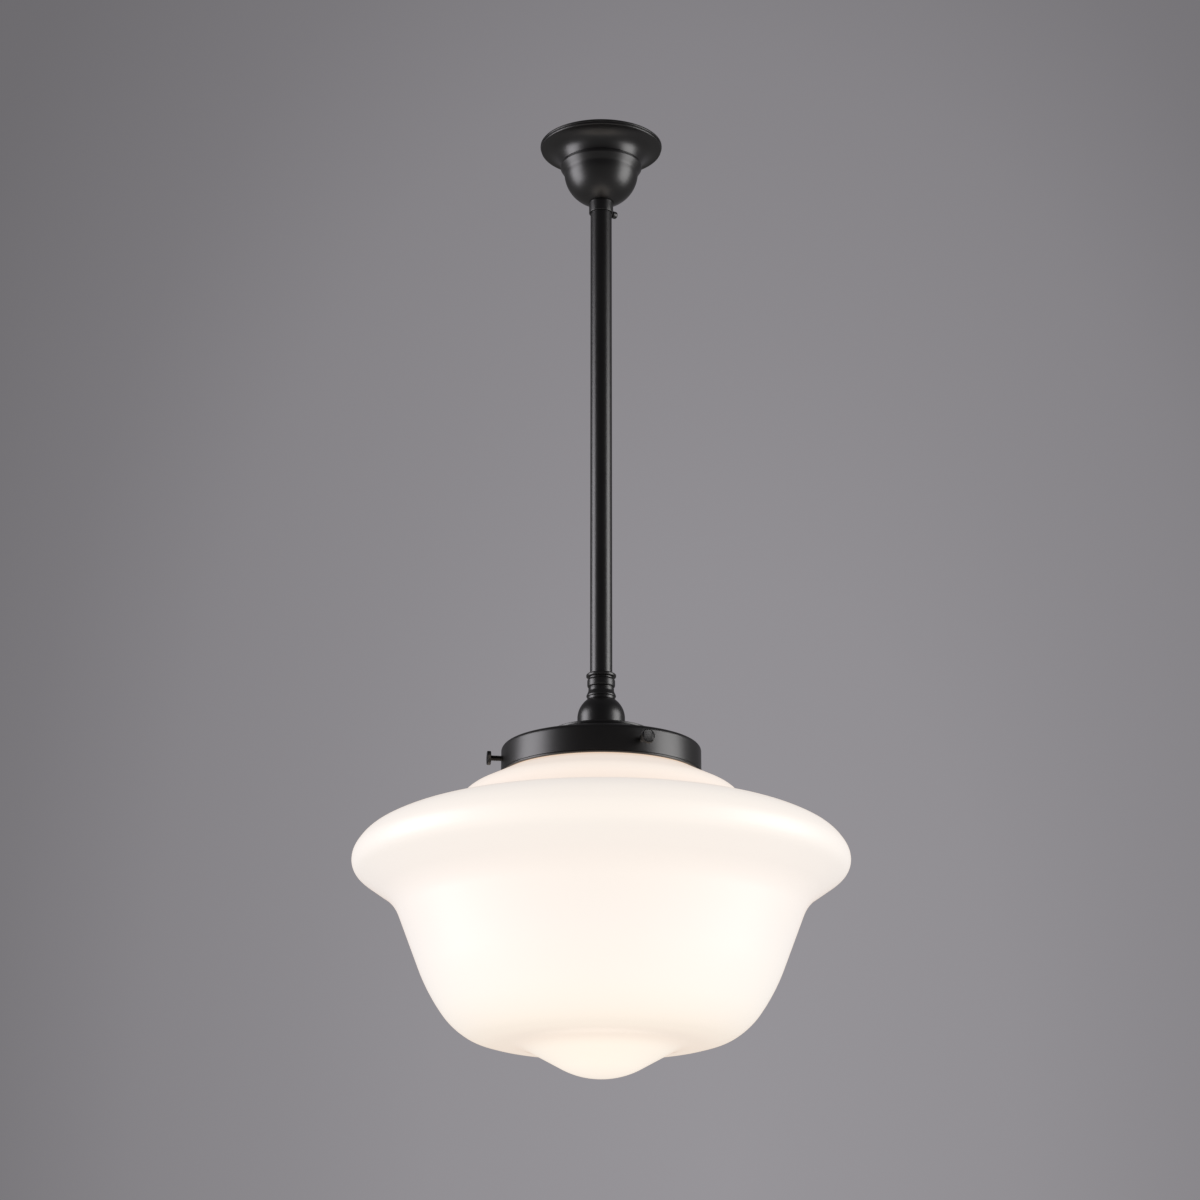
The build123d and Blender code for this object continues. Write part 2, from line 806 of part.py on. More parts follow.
# Glass shade: lip and neck, cone, notch, shoulder, wide brim, waist, bowl, foot ring and tip
shade_corners = [
    (neck_radius, gallery_end + neck_root_rise, neck_root_round),
    (gallery_radius + cone_out, gallery_end - cone_drop, cone_round),
    (gallery_radius + notch_out, gallery_end - notch_drop, notch_round),
    (shade_radius - shoulder_inset, gallery_end - shoulder_drop, shoulder_round),
    (shade_radius - brim_top_inset, gallery_end - brim_top_drop, brim_top_round),
    (shade_radius, gallery_end - widest_top_drop, widest_top_round),
    (shade_radius, gallery_end - widest_foot_drop, widest_foot_round),
    (shade_radius - brim_foot_inset, gallery_end - brim_foot_drop, brim_foot_round),
    (shade_radius - waist_inset, gallery_end - waist_drop, waist_round),
    (shade_radius - bowl_inset, gallery_end - bowl_drop, bowl_round),
    (shade_radius - turn_inset, gallery_end - turn_drop, turn_round),
    (shade_radius - foot_inset, gallery_end - foot_drop, foot_round),
    (shade_radius - ring_out_inset, gallery_end - ring_out_drop, ring_out_round),
    (shade_radius - ring_in_inset, gallery_end - ring_in_drop, ring_in_round),
    (tip_radius, gallery_end - tip_drop, tip_round),
]
shade_outline = [(r, z) for r, z, bend in shade_corners]
shade_bends = [bend for r, z, bend in shade_corners]
with BuildPart() as glass_shade:
    with BuildSketch(Plane.XZ):
        with BuildLine():
            FilletPolyline(
                (neck_radius, lip_top),
                *shade_outline,
                (0, gallery_end - tip_drop),
                radius=shade_bends,
            )
            offset(amount=shade_wall, side=Side.RIGHT)
        make_face()
    revolve(axis=Axis.Z)
    with BuildSketch(Plane.XY.offset(lip_top)):
        Circle(lip_radius)
        Circle(neck_radius - shade_wall / 2, mode=Mode.SUBTRACT)
    extrude(amount=-lip_height)
    fillet(glass_shade.edges().group_by(Axis.Z)[-1], radius=shade_wall / 4)

# Thumb screws: knurled heads and plain shanks
thumb_heads = []
thumb_shanks = []
for azimuth in thumb_azimuths:
    with BuildPart() as thumb_head:
        with BuildSketch(radial_plane(azimuth, thumb_head_inner, thumb_z)):
            Circle(thumb_head_radius)
        extrude(amount=thumb_head_thickness)
        fillet(thumb_head.edges().filter_by(GeomType.CIRCLE), radius=thumb_head_round)
        with BuildSketch(radial_plane(azimuth, thumb_head_inner, thumb_z)):
            with PolarLocations(thumb_head_radius + knurl_radius - knurl_depth, thumb_knurls):
                Circle(knurl_radius)
        extrude(amount=thumb_head_thickness, mode=Mode.SUBTRACT)
    thumb_heads.append(thumb_head)
    with BuildPart() as thumb_shank:
        with BuildSketch(radial_plane(azimuth, thumb_tip, thumb_z)):
            Circle(thumb_radius)
        extrude(amount=thumb_head_inner - thumb_tip)
    thumb_shanks.append(thumb_shank)

# Lampholder cap, screwed on the nipple
with BuildPart() as holder_cap:
    with BuildSketch(Plane.XZ):
        with BuildLine():
            Polyline(
                (nipple_radius + thread_gap, nipple_end),
                (nipple_radius + thread_gap, holder_top),
                (holder_neck_radius, holder_top),
                (holder_neck_radius, holder_top - holder_neck_height),
            )
            CenterArc(
                (holder_neck_radius, holder_shoulder),
                holder_radius - holder_neck_radius,
                0,
                90,
            )
            Polyline(
                (holder_radius, holder_shoulder),
                (holder_radius, body_top),
                (holder_radius - holder_cap_wall, body_top),
                (holder_radius - holder_cap_wall, holder_shoulder),
            )
            CenterArc(
                (holder_neck_radius, holder_shoulder),
                holder_radius - holder_neck_radius - holder_cap_wall,
                0,
                90,
            )
            Line((holder_neck_radius, nipple_end), (nipple_radius + thread_gap, nipple_end))
        make_face()
    revolve(axis=Axis.Z)

# Lampholder body with a spigot inside the cap's skirt
with BuildPart() as holder_body:
    with BuildSketch(Plane.XY.offset(body_top)):
        Circle(holder_body_radius)
        Circle(socket_radius, mode=Mode.SUBTRACT)
    extrude(amount=-holder_body_height)
    fillet(holder_body.edges().group_by(Axis.Z)[0].sort_by(SortBy.RADIUS)[-1], radius=holder_lip)
    with BuildSketch(Plane.XY.offset(body_top)):
        Circle(holder_radius - holder_cap_wall - thread_gap)
        Circle(socket_radius, mode=Mode.SUBTRACT)
    extrude(amount=spigot_height)

with BuildPart() as holder_insert:
    with BuildSketch(Plane.XY.offset(insert_top)):
        Circle(insert_radius)
    extrude(amount=-insert_height)
    with BuildSketch(Plane.XY.offset(insert_top)):
        with Locations((terminal_x, 0), (-terminal_x, 0)):
            Circle(holder_screw_radius + thread_gap)
    extrude(amount=-insert_height / 2, mode=Mode.SUBTRACT)

with BuildPart() as screw_shell:
    with BuildSketch(Plane.XY.offset(insert_end)):
        Circle(lamp_cap_radius + screw_shell_gap + screw_shell_wall)
        Circle(lamp_cap_radius + screw_shell_gap, mode=Mode.SUBTRACT)
    extrude(amount=-screw_shell_height)

# Centre contact, a bent spring tongue under the insert
contact_line = insert_end - contact_thickness / 2
with BuildPart() as centre_contact:
    with BuildSketch(Plane.XZ.offset(-contact_width / 2)):
        with BuildLine():
            Polyline(
                (-contact_root, contact_line),
                (-contact_root / 2, contact_line),
                (0, contact_line - contact_reach),
                (contact_root / 3, contact_line - contact_reach),
            )
        trace(line_width=contact_thickness)
    extrude(amount=contact_width)

# Clamp terminals, their screws and the earth tag on the insert
with BuildPart() as holder_terminals:
    with BuildSketch(Plane.XY.offset(insert_top)):
        with Locations((terminal_x, 0), (-terminal_x, 0)):
            Rectangle(terminal_size, terminal_size)
    extrude(amount=terminal_height)
    with BuildSketch(Plane.XY.offset(insert_top)):
        with Locations((terminal_x, 0), (-terminal_x, 0)):
            Rectangle(terminal_bore_width, terminal_bore_width)
    extrude(amount=terminal_bore_depth, mode=Mode.SUBTRACT)

screw_middle = insert_top + terminal_height / 2
with BuildPart() as holder_screws:
    for side in (1, -1):
        with BuildSketch(Plane(
            origin=(side * (terminal_x + terminal_size / 2), 0, screw_middle),
            x_dir=(0, 1, 0),
            z_dir=(side, 0, 0),
        )):
            Circle(holder_screw_radius)
        extrude(amount=holder_screw_standoff)

with BuildPart() as earth_tag:
    with BuildSketch(Plane.XY.offset(insert_top)):
        with Locations((0, (terminal_x + earth_tag_length) / 2)):
            Rectangle(earth_tag_width, earth_tag_length)
    extrude(amount=earth_tag_height)

# Wires: up from the lampholder, through the nipple and the rod, and out to the terminal block
terminal_face = insert_top + terminal_height
wires = []
for side in (-1, 0, 1):
    if side == 0:
        foot_x, foot_y, foot_z = 0, terminal_x, insert_top + earth_tag_height
    else:
        foot_x, foot_y, foot_z = side * terminal_x, 0, terminal_face
    rod_x = side * wire_spacing
    pole = side * pole_spacing
    corners = [
        (foot_x, foot_y, foot_z),
        (foot_x, foot_y, foot_z + wire_foot_run),
        (rod_x, 0, nipple_end - wire_below_nipple),
        (rod_x, 0, wire_bend_z),
        (pole, block_face - wire_block_run, wire_bend_z),
        (pole, block_face, wire_bend_z),
    ]
    if side == 0:
        corners.remove((pole, block_face - wire_block_run, wire_bend_z))
    with BuildPart() as wire:
        with BuildLine():
            route = FilletPolyline(*corners, radius=[wire_bend] * (len(corners) - 2))
        with BuildSketch(Plane(origin=route @ 0, z_dir=route % 0)):
            Circle(wire_radius)
        sweep()
    wires.append(wire)
    print("wire", side, "is", round(route.length, 1), "mm long and bends at", wire_bend, "mm")

# Lamp: screw cap with its thread as rings, black insulator, solder tip, body and diffuser
thread_start = lamp_cap_top - (lamp_cap_height - lamp_cap_skirt - lamp_thread_turns * lamp_thread_pitch)
with BuildPart() as lamp_cap:
    with BuildSketch(Plane.XZ):
        with BuildLine():
            Line((0, lamp_cap_top), (lamp_insulator_radius, lamp_cap_top))
            Line(
                (lamp_insulator_radius, lamp_cap_top),
                (lamp_cap_radius - lamp_thread_depth, thread_start),
            )
            for turn in range(lamp_thread_turns):
                turn_top = thread_start - turn * lamp_thread_pitch
                ThreePointArc(
                    (lamp_cap_radius - lamp_thread_depth, turn_top),
                    (lamp_cap_radius, turn_top - lamp_thread_pitch / 2),
                    (lamp_cap_radius - lamp_thread_depth, turn_top - lamp_thread_pitch),
                )
            Polyline(
                (lamp_cap_radius - lamp_thread_depth, lamp_cap_end + lamp_cap_skirt),
                (lamp_cap_radius, lamp_cap_end + lamp_cap_skirt),
                (lamp_cap_radius, lamp_cap_end),
                (0, lamp_cap_end),
                (0, lamp_cap_top),
            )
        make_face()
    revolve(axis=Axis.Z)

with BuildPart() as lamp_insulator:
    with BuildSketch(Plane.XZ):
        Polygon(
            (0, lamp_cap_top),
            (lamp_insulator_radius, lamp_cap_top),
            (lamp_insulator_top, lamp_cap_top + lamp_insulator_height),
            (0, lamp_cap_top + lamp_insulator_height),
            align=None,
        )
    revolve(axis=Axis.Z)

with BuildPart() as lamp_tip:
    with BuildSketch(Plane.XY.offset(lamp_cap_top + lamp_insulator_height)):
        Circle(lamp_tip_radius)
    extrude(amount=lamp_tip_height)
    fillet(lamp_tip.edges().group_by(Axis.Z)[-1], radius=lamp_tip_height / 2)

lamp_neck_end = lamp_cap_end - lamp_neck_height
with BuildPart() as lamp_body:
    with BuildSketch(Plane.XZ):
        with BuildLine():
            Line((0, lamp_cap_end), (lamp_neck_radius, lamp_cap_end))
            Line((lamp_neck_radius, lamp_cap_end), (lamp_neck_radius, lamp_neck_end))
            Spline(
                (lamp_neck_radius, lamp_neck_end),
                (lamp_radius, lamp_seam),
                tangents=[(0.2, -1), (0.15, -1)],
            )
            Line((lamp_radius, lamp_seam), (0, lamp_seam))
            Line((0, lamp_seam), (0, lamp_cap_end))
        make_face()
    revolve(axis=Axis.Z)

diffuser_drop = lamp_diffuser_height - lamp_radius
lamp_inner = lamp_radius - lamp_diffuser_wall
with BuildPart() as lamp_diffuser:
    with BuildSketch(Plane.XZ):
        with BuildLine():
            Line((lamp_inner, lamp_seam), (lamp_radius, lamp_seam))
            Line((lamp_radius, lamp_seam), (lamp_radius, lamp_seam - diffuser_drop))
            CenterArc((0, lamp_seam - diffuser_drop), lamp_radius, -90, 90)
            Line(
                (0, lamp_seam - lamp_diffuser_height),
                (0, lamp_seam - lamp_diffuser_height + lamp_diffuser_wall),
            )
            CenterArc((0, lamp_seam - diffuser_drop), lamp_inner, -90, 90)
            Line((lamp_inner, lamp_seam - diffuser_drop), (lamp_inner, lamp_seam))
        make_face()
    revolve(axis=Axis.Z)

# Write each piece under its own name
pieces = {
    "ceiling_plate": ceiling_plate,
    "earth_washer": earth_washer,
    "earth_screw": earth_screw,
    "swivel_fork": swivel_fork,
    "swivel_washer": swivel_washer,
    "swivel_nut": swivel_nut,
    "pivot_pin": pivot_pin,
    "pin_clip": pin_clip,
    "rod_head": rod_head,
    "down_rod": down_rod,
    "rod_bush": rod_bush,
    "terminal_block": terminal_block,
    "terminal_screws": terminal_screws,
    "canopy_shell": canopy_shell,
    "slip_ring": slip_ring,
    "ring_screw_shank": ring_screw_shank,
    "ring_screw_head": ring_screw_head,
    "rod_collar": rod_collar,
    "ball_cap": ball_cap,
    "crown_cap": crown_cap,
    "gallery": gallery,
    "threaded_nipple": threaded_nipple,
    "clamp_washer": clamp_washer,
    "clamp_nut": clamp_nut,
    "glass_shade": glass_shade,
    "holder_cap": holder_cap,
    "holder_body": holder_body,
    "holder_insert": holder_insert,
    "screw_shell": screw_shell,
    "centre_contact": centre_contact,
    "holder_terminals": holder_terminals,
    "holder_screws": holder_screws,
    "earth_tag": earth_tag,
    "live_wire": wires[0],
    "earth_wire": wires[1],
    "neutral_wire": wires[2],
    "lamp_cap": lamp_cap,
    "lamp_insulator": lamp_insulator,
    "lamp_tip": lamp_tip,
    "lamp_body": lamp_body,
    "lamp_diffuser": lamp_diffuser,
}
for number in range(len(thumb_azimuths)):
    pieces[f"thumb_screw_{number + 1}_head"] = thumb_heads[number]
    pieces[f"thumb_screw_{number + 1}_shank"] = thumb_shanks[number]

os.makedirs("parts", exist_ok=True)
for name, piece in pieces.items():
    piece.part.label = name
    export_step(piece.part, f"parts/{name}.step")
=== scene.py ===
"""Visual model of a schoolhouse pendant light, built around its packed construction model."""

import sys
import json
import logging
from dataclasses import dataclass, field
from enum import Enum
from math import acos, cos, hypot, pi, radians, sin, tan
from typing import Sequence

import bmesh
import bpy
from bmesh.types import BMEdge, BMesh, BMFace, BMVert
from bpy.types import ID, Material, Mesh, Node, NodeSocket, NodeTree, Object
from mathutils import Matrix, Vector

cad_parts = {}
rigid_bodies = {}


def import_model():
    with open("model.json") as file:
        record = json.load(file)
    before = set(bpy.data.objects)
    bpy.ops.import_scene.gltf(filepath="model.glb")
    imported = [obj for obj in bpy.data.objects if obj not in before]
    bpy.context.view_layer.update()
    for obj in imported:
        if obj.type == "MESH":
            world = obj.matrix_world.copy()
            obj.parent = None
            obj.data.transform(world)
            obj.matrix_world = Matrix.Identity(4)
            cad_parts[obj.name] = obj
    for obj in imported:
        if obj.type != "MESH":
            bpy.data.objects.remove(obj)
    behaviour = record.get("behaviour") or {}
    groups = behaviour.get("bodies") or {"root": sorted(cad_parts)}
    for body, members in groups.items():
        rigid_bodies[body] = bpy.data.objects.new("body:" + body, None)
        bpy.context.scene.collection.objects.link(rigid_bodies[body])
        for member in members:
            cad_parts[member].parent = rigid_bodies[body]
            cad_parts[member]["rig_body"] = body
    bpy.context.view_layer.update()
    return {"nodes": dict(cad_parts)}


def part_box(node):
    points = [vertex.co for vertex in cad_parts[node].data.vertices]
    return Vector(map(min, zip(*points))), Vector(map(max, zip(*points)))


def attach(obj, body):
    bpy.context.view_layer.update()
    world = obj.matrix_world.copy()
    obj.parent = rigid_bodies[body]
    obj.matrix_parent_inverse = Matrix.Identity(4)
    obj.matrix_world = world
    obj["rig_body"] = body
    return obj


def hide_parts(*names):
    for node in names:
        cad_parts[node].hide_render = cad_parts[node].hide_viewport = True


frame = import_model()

log = logging.getLogger("pendant")

Pair = tuple[float, float]
Colour = tuple[float, float, float]
Stops = Sequence[tuple[float, Sequence[float]]]

METRE = 0.001  # millimetres to metres: the pendant's sizes below are in millimetres
SMOOTH_ANGLE = 32.0
TURNED_STEPS = 192
SMALL_STEPS = 64
DOUBLES = 0.0005
THREAD_DOUBLES = 0.002
ARC_STEPS = 6  # steps of a rounded corner for each radian
ARC_STEPS_PER_MM = 0.35  # and how many more for each millimetre of its radius
THUMB_AZIMUTHS = (-66.6, 61.2, 189.0)
THUMB_HEIGHT = -482.5


class Body(Enum):
    """The moving bodies that the new pieces ride on."""

    PENDANT = "pendant"
    CANOPY = "canopy"
    RING_SCREW = "ring_screw"
    RING_KNOB = "ring_screw_knob"


def levels(node: str) -> tuple[float, float]:
    """The heights of a construction node's lowest and highest point, in millimetres."""
    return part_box(node)[0].z / METRE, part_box(node)[1].z / METRE


# Outlines and meshes


@dataclass(frozen=True)
class Corner:
    """One corner of a turned outline, with the radius it is rounded to."""

    radius: float
    height: float
    bend: float = 0.0

    def point(self) -> Vector:
        """The corner as a point in the XZ plane."""
        return Vector((self.radius, 0.0, self.height))


class Outline:
    """A pen that draws a wire in the XZ plane by extruding and spinning its last vertex."""

    def __init__(self, start: Vector) -> None:
        """Starts the wire at a point."""
        self.mesh: BMesh = bmesh.new()
        self.tip: BMVert = self.mesh.verts.new(start)

    def line_to(self, point: Vector) -> None:
        """Extrudes the tip in a straight line.

        Args:
            point: Where the line ends.
        """
        made = bmesh.ops.extrude_vert_indiv(self.mesh, verts=[self.tip])
        self.tip = made["verts"][0]
        self.tip.co = point

    def arc(self, centre: Vector, turn: float, steps: int) -> None:
        """Spins the tip round a centre.

        Args:
            centre: The arc's centre.
            turn: The angle about +Y, in radians.
            steps: How many short lines the arc has.
        """
        made = bmesh.ops.spin(
            self.mesh, geom=[self.tip], cent=centre, axis=(0, 1, 0), angle=turn, steps=steps
        )
        self.tip = [v for v in made["geom_last"] if isinstance(v, BMVert)][0]

    @classmethod
    def through(cls, corners: Sequence[Corner], closed: bool = False) -> "Outline":
        """Draws a wire through corners, each rounded to its own radius.

        Args:
            corners: The corners in order. The first and last stay sharp.
            closed: Whether the wire comes back to its first corner.

        Returns:
            The finished outline.
        """
        points = [c.point() for c in corners]
        if closed:
            points.append(points[0])
        pen = cls(points[0])
        for index in range(1, len(points) - 1):
            pen._corner(points[index - 1], points[index], points[index + 1], corners[index].bend)
        pen.line_to(points[-1])
        bmesh.ops.remove_doubles(pen.mesh, verts=pen.mesh.verts[:], dist=DOUBLES)
        return pen

    def _corner(self, before: Vector, at: Vector, after: Vector, bend: float) -> None:
        """Draws the wire up to a corner and round it.

        Args:
            before: The corner before this one.
            at: The corner itself.
            after: The corner after it.
            bend: The radius of its rounding, or 0 for a sharp corner.
        """
        if bend <= 0:
            self.line_to(at)
            return
        come = (at - before).normalized()
        leave = (after - at).normalized()
        angle = acos(max(-1.0, min(1.0, come.dot(leave))))
        side = 1.0 if come.x * leave.z - come.z * leave.x > 0 else -1.0
        start = at - come * bend * tan(angle / 2)
        self.line_to(start)
        centre = start + Vector((-come.z, 0, come.x)) * bend * side
        steps = max(2, round(angle * (ARC_STEPS + bend * ARC_STEPS_PER_MM)))
        self.arc(centre, -side * angle, steps)


def turn_round(mesh: BMesh, steps: int) -> None:
    """Spins a wire a full turn about Z and closes its poles.

    Args:
        mesh: The wire, in the XZ plane, which becomes the turned surface.
        steps: How many steps the full turn has.
    """
    bmesh.ops.spin(
        mesh,
        geom=mesh.verts[:] + mesh.edges[:],
        cent=(0, 0, 0),
        axis=(0, 0, 1),
        angle=2 * pi,
        steps=steps,
        use_merge=True,
    )
    bmesh.ops.remove_doubles(mesh, verts=mesh.verts[:], dist=DOUBLES)
    bmesh.ops.recalc_face_normals(mesh, faces=mesh.faces[:])


def turned(corners: Sequence[Corner], steps: int = TURNED_STEPS) -> BMesh:
    """A closed turned solid or shell from its whole outline.

    Args:
        corners: The outline's corners, all the way round the section.
        steps: How many steps the full turn has.

    Returns:
        The turned mesh.
    """
    on_axis = corners[0].radius == 0 and corners[-1].radius == 0
    mesh = Outline.through(corners, closed=not on_axis).mesh
    turn_round(mesh, steps)
    return mesh


def loop_edges(mesh: BMesh, radius: float, height: float) -> list[BMEdge]:
    """The edges of a round loop at a radius and height.

    Args:
        mesh: The mesh to look in.
        radius: The loop's radius.
        height: The loop's height.

    Returns:
        The edges of which both ends lie there.
    """
    near = 0.02

    def is_there(vert: BMVert) -> bool:
        """Whether a vertex lies on the loop."""
        return abs(hypot(vert.co.x, vert.co.y) - radius) < near and abs(vert.co.z - height) < near

    return [e for e in mesh.edges if all(is_there(v) for v in e.verts)]


def threaded(radius: float, depth: float, pitch: float, low: float, high: float) -> BMesh:
    """A rod with a right-hand thread that stands on Z, closed at both ends.

    A zigzag is spun one turn while it climbs one pitch, so its seam meets itself one thread on.

    Args:
        radius: The thread's outer radius.
        depth: How deep the thread is cut.
        pitch: Its climb in one turn.
        low: The height of the rod's lower end.
        high: The height of its upper end.

    Returns:
        The threaded rod.
    """
    crest_start, crest_end = 0.42 * pitch, 0.58 * pitch
    threads = int((high - low) / pitch) + 3  # enough to pass both cut ends
    base = low - 1.5 * pitch
    pen = Outline(Vector((radius - depth, 0, base)))
    for number in range(threads):
        foot = base + number * pitch
        pen.line_to(Vector((radius, 0, foot + crest_start)))
        pen.line_to(Vector((radius, 0, foot + crest_end)))
        pen.line_to(Vector((radius - depth, 0, foot + pitch)))
    mesh = pen.mesh
    steps = 48
    bmesh.ops.spin(
        mesh,
        geom=mesh.verts[:] + mesh.edges[:],
        cent=(0, 0, 0),
        axis=(0, 0, 1),
        dvec=(0, 0, pitch / steps),
        angle=2 * pi,
        steps=steps,
    )
    bmesh.ops.remove_doubles(mesh, verts=mesh.verts[:], dist=THREAD_DOUBLES)
    for height, facing in ((low, -1), (high, 1)):
        bmesh.ops.bisect_plane(
            mesh,
            geom=mesh.verts[:] + mesh.edges[:] + mesh.faces[:],
            plane_co=(0, 0, height),
            plane_no=(0, 0, facing),
            clear_outer=True,
        )
    bmesh.ops.holes_fill(mesh, edges=[e for e in mesh.edges if e.is_boundary], sides=0)
    bmesh.ops.recalc_face_normals(mesh, faces=mesh.faces[:])
    return mesh


def knurled_disc(
    radius: float, thickness: float, round_edge: float, ridges: int, depth: float
) -> BMesh:
    """A disc on the XY plane with straight knurling round it and softened rims.

    Args:
        radius: The radius over the ridges.
        thickness: The disc's thickness along Z.
        round_edge: How far its rims are softened.
        ridges: How many ridges it has.
        depth: The depth of the grooves between them.

    Returns:
        The disc's mesh.
    """
    mesh = bmesh.new()
    per_ridge = 6
    bmesh.ops.create_circle(mesh, cap_ends=True, radius=radius, segments=ridges * per_ridge)
    mesh.faces.ensure_lookup_table()
    for number, vert in enumerate(mesh.verts):
        swing = 0.5 - 0.5 * cos(2 * pi * number / per_ridge)
        vert.co *= 1 - depth / radius * swing
    for vert in mesh.verts:
        vert.co.z = round_edge
    face = mesh.faces[0]
    if face.normal.z < 0:
        face.normal_flip()
    body = bmesh.ops.extrude_face_region(mesh, geom=[face])
    lid = [g for g in body["geom"] if isinstance(g, BMFace)][0]
    bmesh.ops.translate(mesh, verts=lid.verts[:], vec=(0, 0, thickness - 2 * round_edge))
    floor = [f for f in mesh.faces if len(f.verts) > 4 and f is not lid][0]
    for cap, way in ((lid, 1), (floor, -1)):
        soften_rim(mesh, cap, round_edge, way)
    bmesh.ops.recalc_face_normals(mesh, faces=mesh.faces[:])
    return mesh


def soften_rim(mesh: BMesh, cap: BMFace, amount: float, way: int) -> None:
    """Rounds the rim of a flat cap in three narrow bands.

    Args:
        mesh: The mesh that the cap belongs to.
        cap: The flat face whose rim is rounded.
        amount: The radius of the rounding.
        way: 1 for a cap that faces +Z and -1 for one that faces -Z.
    """
    bands = 3
    for band in range(bands):
        here = radians(90 * band / bands)
        there = radians(90 * (band + 1) / bands)
        bmesh.ops.inset_region(mesh, faces=[cap], thickness=amount * (cos(here) - cos(there)))
        rise = amount * (sin(there) - sin(here))
        bmesh.ops.translate(mesh, verts=cap.verts[:], vec=(0, 0, rise * way))

def outward(azimuth: float, radius: float, height: float) -> Matrix:
    """Stands a mesh made on +Z on its side, facing out from the lamp's axis.

    Args:
        azimuth: Which way it faces, in degrees from +X.
        radius: How far its foot is from the axis.
        height: The height of its own axis.

    Returns:
        The matrix that places it.
    """
    turn = Matrix.Rotation(radians(azimuth), 4, "Z")
    return turn @ Matrix.Translation((radius, 0, height)) @ Matrix.Rotation(pi / 2, 4, "Y")

# Finishes


def spaced(name: str) -> str:
    """A keyword as a socket's name, with spaces for its underscores."""
    return name.replace("_", " ")


class Nodes:
    """A node tree with short calls to add and join nodes."""

    def __init__(self, tree: NodeTree) -> None:
        """Takes the tree that the calls work on."""
        self.tree: NodeTree = tree

    def fill(self, node: Node, inputs: dict[str | int, object]) -> None:
        """Sets a node's inputs.

        Args:
            node: The node.
            inputs: The plain value of each input, or the socket that feeds it, by name or number.
        """
        for key, value in inputs.items():
            socket = node.inputs[key]
            if isinstance(value, NodeSocket):
                self.tree.links.new(value, socket)
            else:
                socket.default_value = (*value, 1) if socket.type == "RGBA" else value

    def node(self, kind: str, inputs: dict[str | int, object], **values: object) -> Node:
        """Adds a node.

        Args:
            kind: The node's type name without its ShaderNode prefix.
            inputs: What its inputs are set to, as in fill.
            **values: Its properties.

        Returns:
            The new node.
        """
        made = self.tree.nodes.new("ShaderNode" + kind)
        for key, value in values.items():
            setattr(made, key, value)
        self.fill(made, inputs)
        return made

    def place(self) -> NodeSocket:
        """The point of the surface, in the object's own coordinates."""
        return self.node("TexCoord", {}).outputs["Object"]

    def noise(self, place: NodeSocket, scale: NodeSocket | float, detail: float) -> NodeSocket:
        """The value of a noise at a place, with its scale and detail."""
        inputs = {"Vector": place, "Scale": scale, "Detail": detail}
        return self.node("TexNoise", inputs).outputs["Fac"]

    def math(self, operation: str, first: NodeSocket, second: NodeSocket) -> NodeSocket:
        """What a named operation makes of two values."""
        return self.node("Math", {0: first, 1: second}, operation=operation).outputs[0]

    def ramp(self, value: NodeSocket, stops: Stops) -> NodeSocket:
        """Colours a value.

        Args:
            value: The socket that gives it.
            stops: Each place from 0 to 1 with its colour.

        Returns:
            The colour's socket.
        """
        made = self.node("ValToRGB", {"Fac": value})
        while len(made.color_ramp.elements) < len(stops):
            made.color_ramp.elements.new(0.5)
        for element, (place, colour) in zip(made.color_ramp.elements, stops):
            element.position = place
            element.color = (*colour, 1)
        return made.outputs["Color"]


class Effect(Nodes):
    """A node group that several finishes share, with numbers as inputs and masks as outputs."""

    def __init__(self, name: str, outputs: Sequence[str], **inputs: float) -> None:
        """Makes the group with its sockets and nothing between them.

        Args:
            name: The group's name.
            outputs: The names of its outputs.
            **inputs: The default values of its inputs.
        """
        super().__init__(bpy.data.node_groups.new(name, "ShaderNodeTree"))
        for key, value in inputs.items():
            self.socket(spaced(key), "INPUT").default_value = value
        for key in outputs:
            self.socket(key, "OUTPUT")
        self.given: bpy.types.NodeOutputs = self.tree.nodes.new("NodeGroupInput").outputs
        self.result: Node = self.tree.nodes.new("NodeGroupOutput")

    def socket(self, name: str, way: str) -> bpy.types.NodeTreeInterfaceSocket:
        """Adds a number to the group's inputs or outputs."""
        return self.tree.interface.new_socket(name, in_out=way, socket_type="NodeSocketFloat")


def grain_effect() -> NodeTree:
    """Fine paint texture: a small grain for bump and a slow cloud for tone.

    Returns:
        The group, with Grain and Cloud outputs.
    """
    made = Effect("paint_grain", ("Grain", "Cloud"), Grain_Scale=2200.0, Cloud_Scale=18.0)
    place = made.place()
    for name, detail in (("Grain", 2.0), ("Cloud", 4.0)):
        made.fill(made.result, {name: made.noise(place, made.given[name + " Scale"], detail)})
    return made.tree


def dust_effect() -> NodeTree:
    """A little dust on what faces up.

    Returns:
        The group, with a Dust mask that its Amount input scales.
    """
    made = Effect("resting_dust", ("Dust",), Amount=0.3, Scale=140.0)
    normal = made.node("NewGeometry", {}).outputs["Normal"]
    height = made.node("SeparateXYZ", {"Vector": normal}).outputs["Z"]
    upward = made.node("MapRange", {"Value": height, "From Min": 0.35, "From Max": 0.95})
    patches = made.noise(made.place(), made.given["Scale"], 6.0)
    patchy = made.math("MULTIPLY", upward.outputs["Result"], patches)
    made.fill(made.result, {"Dust": made.math("MULTIPLY", patchy, made.given["Amount"])})
    return made.tree


def edge_wear_and_sheen_effect() -> NodeTree:
    """Where edges are lightened, partly as rubbed paint and partly as a painted sheen.

    Returns:
        The group, with a mask of lighter edges, rubbed paint and painted sheen, that its Amount
        input scales.
    """
    made = Effect("rubbed_and_sheen_edges", ("Wear",), Amount=0.5, Start=0.52, Full=0.62)
    given = made.given
    sharp = made.node("NewGeometry", {}).outputs["Pointiness"]
    inputs = {"Value": sharp, "From Min": given["Start"], "From Max": given["Full"]}
    edge = made.node("MapRange", inputs)
    made.fill(made.result, {"Wear": made.math("MULTIPLY", edge.outputs["Result"], given["Amount"])})
    return made.tree


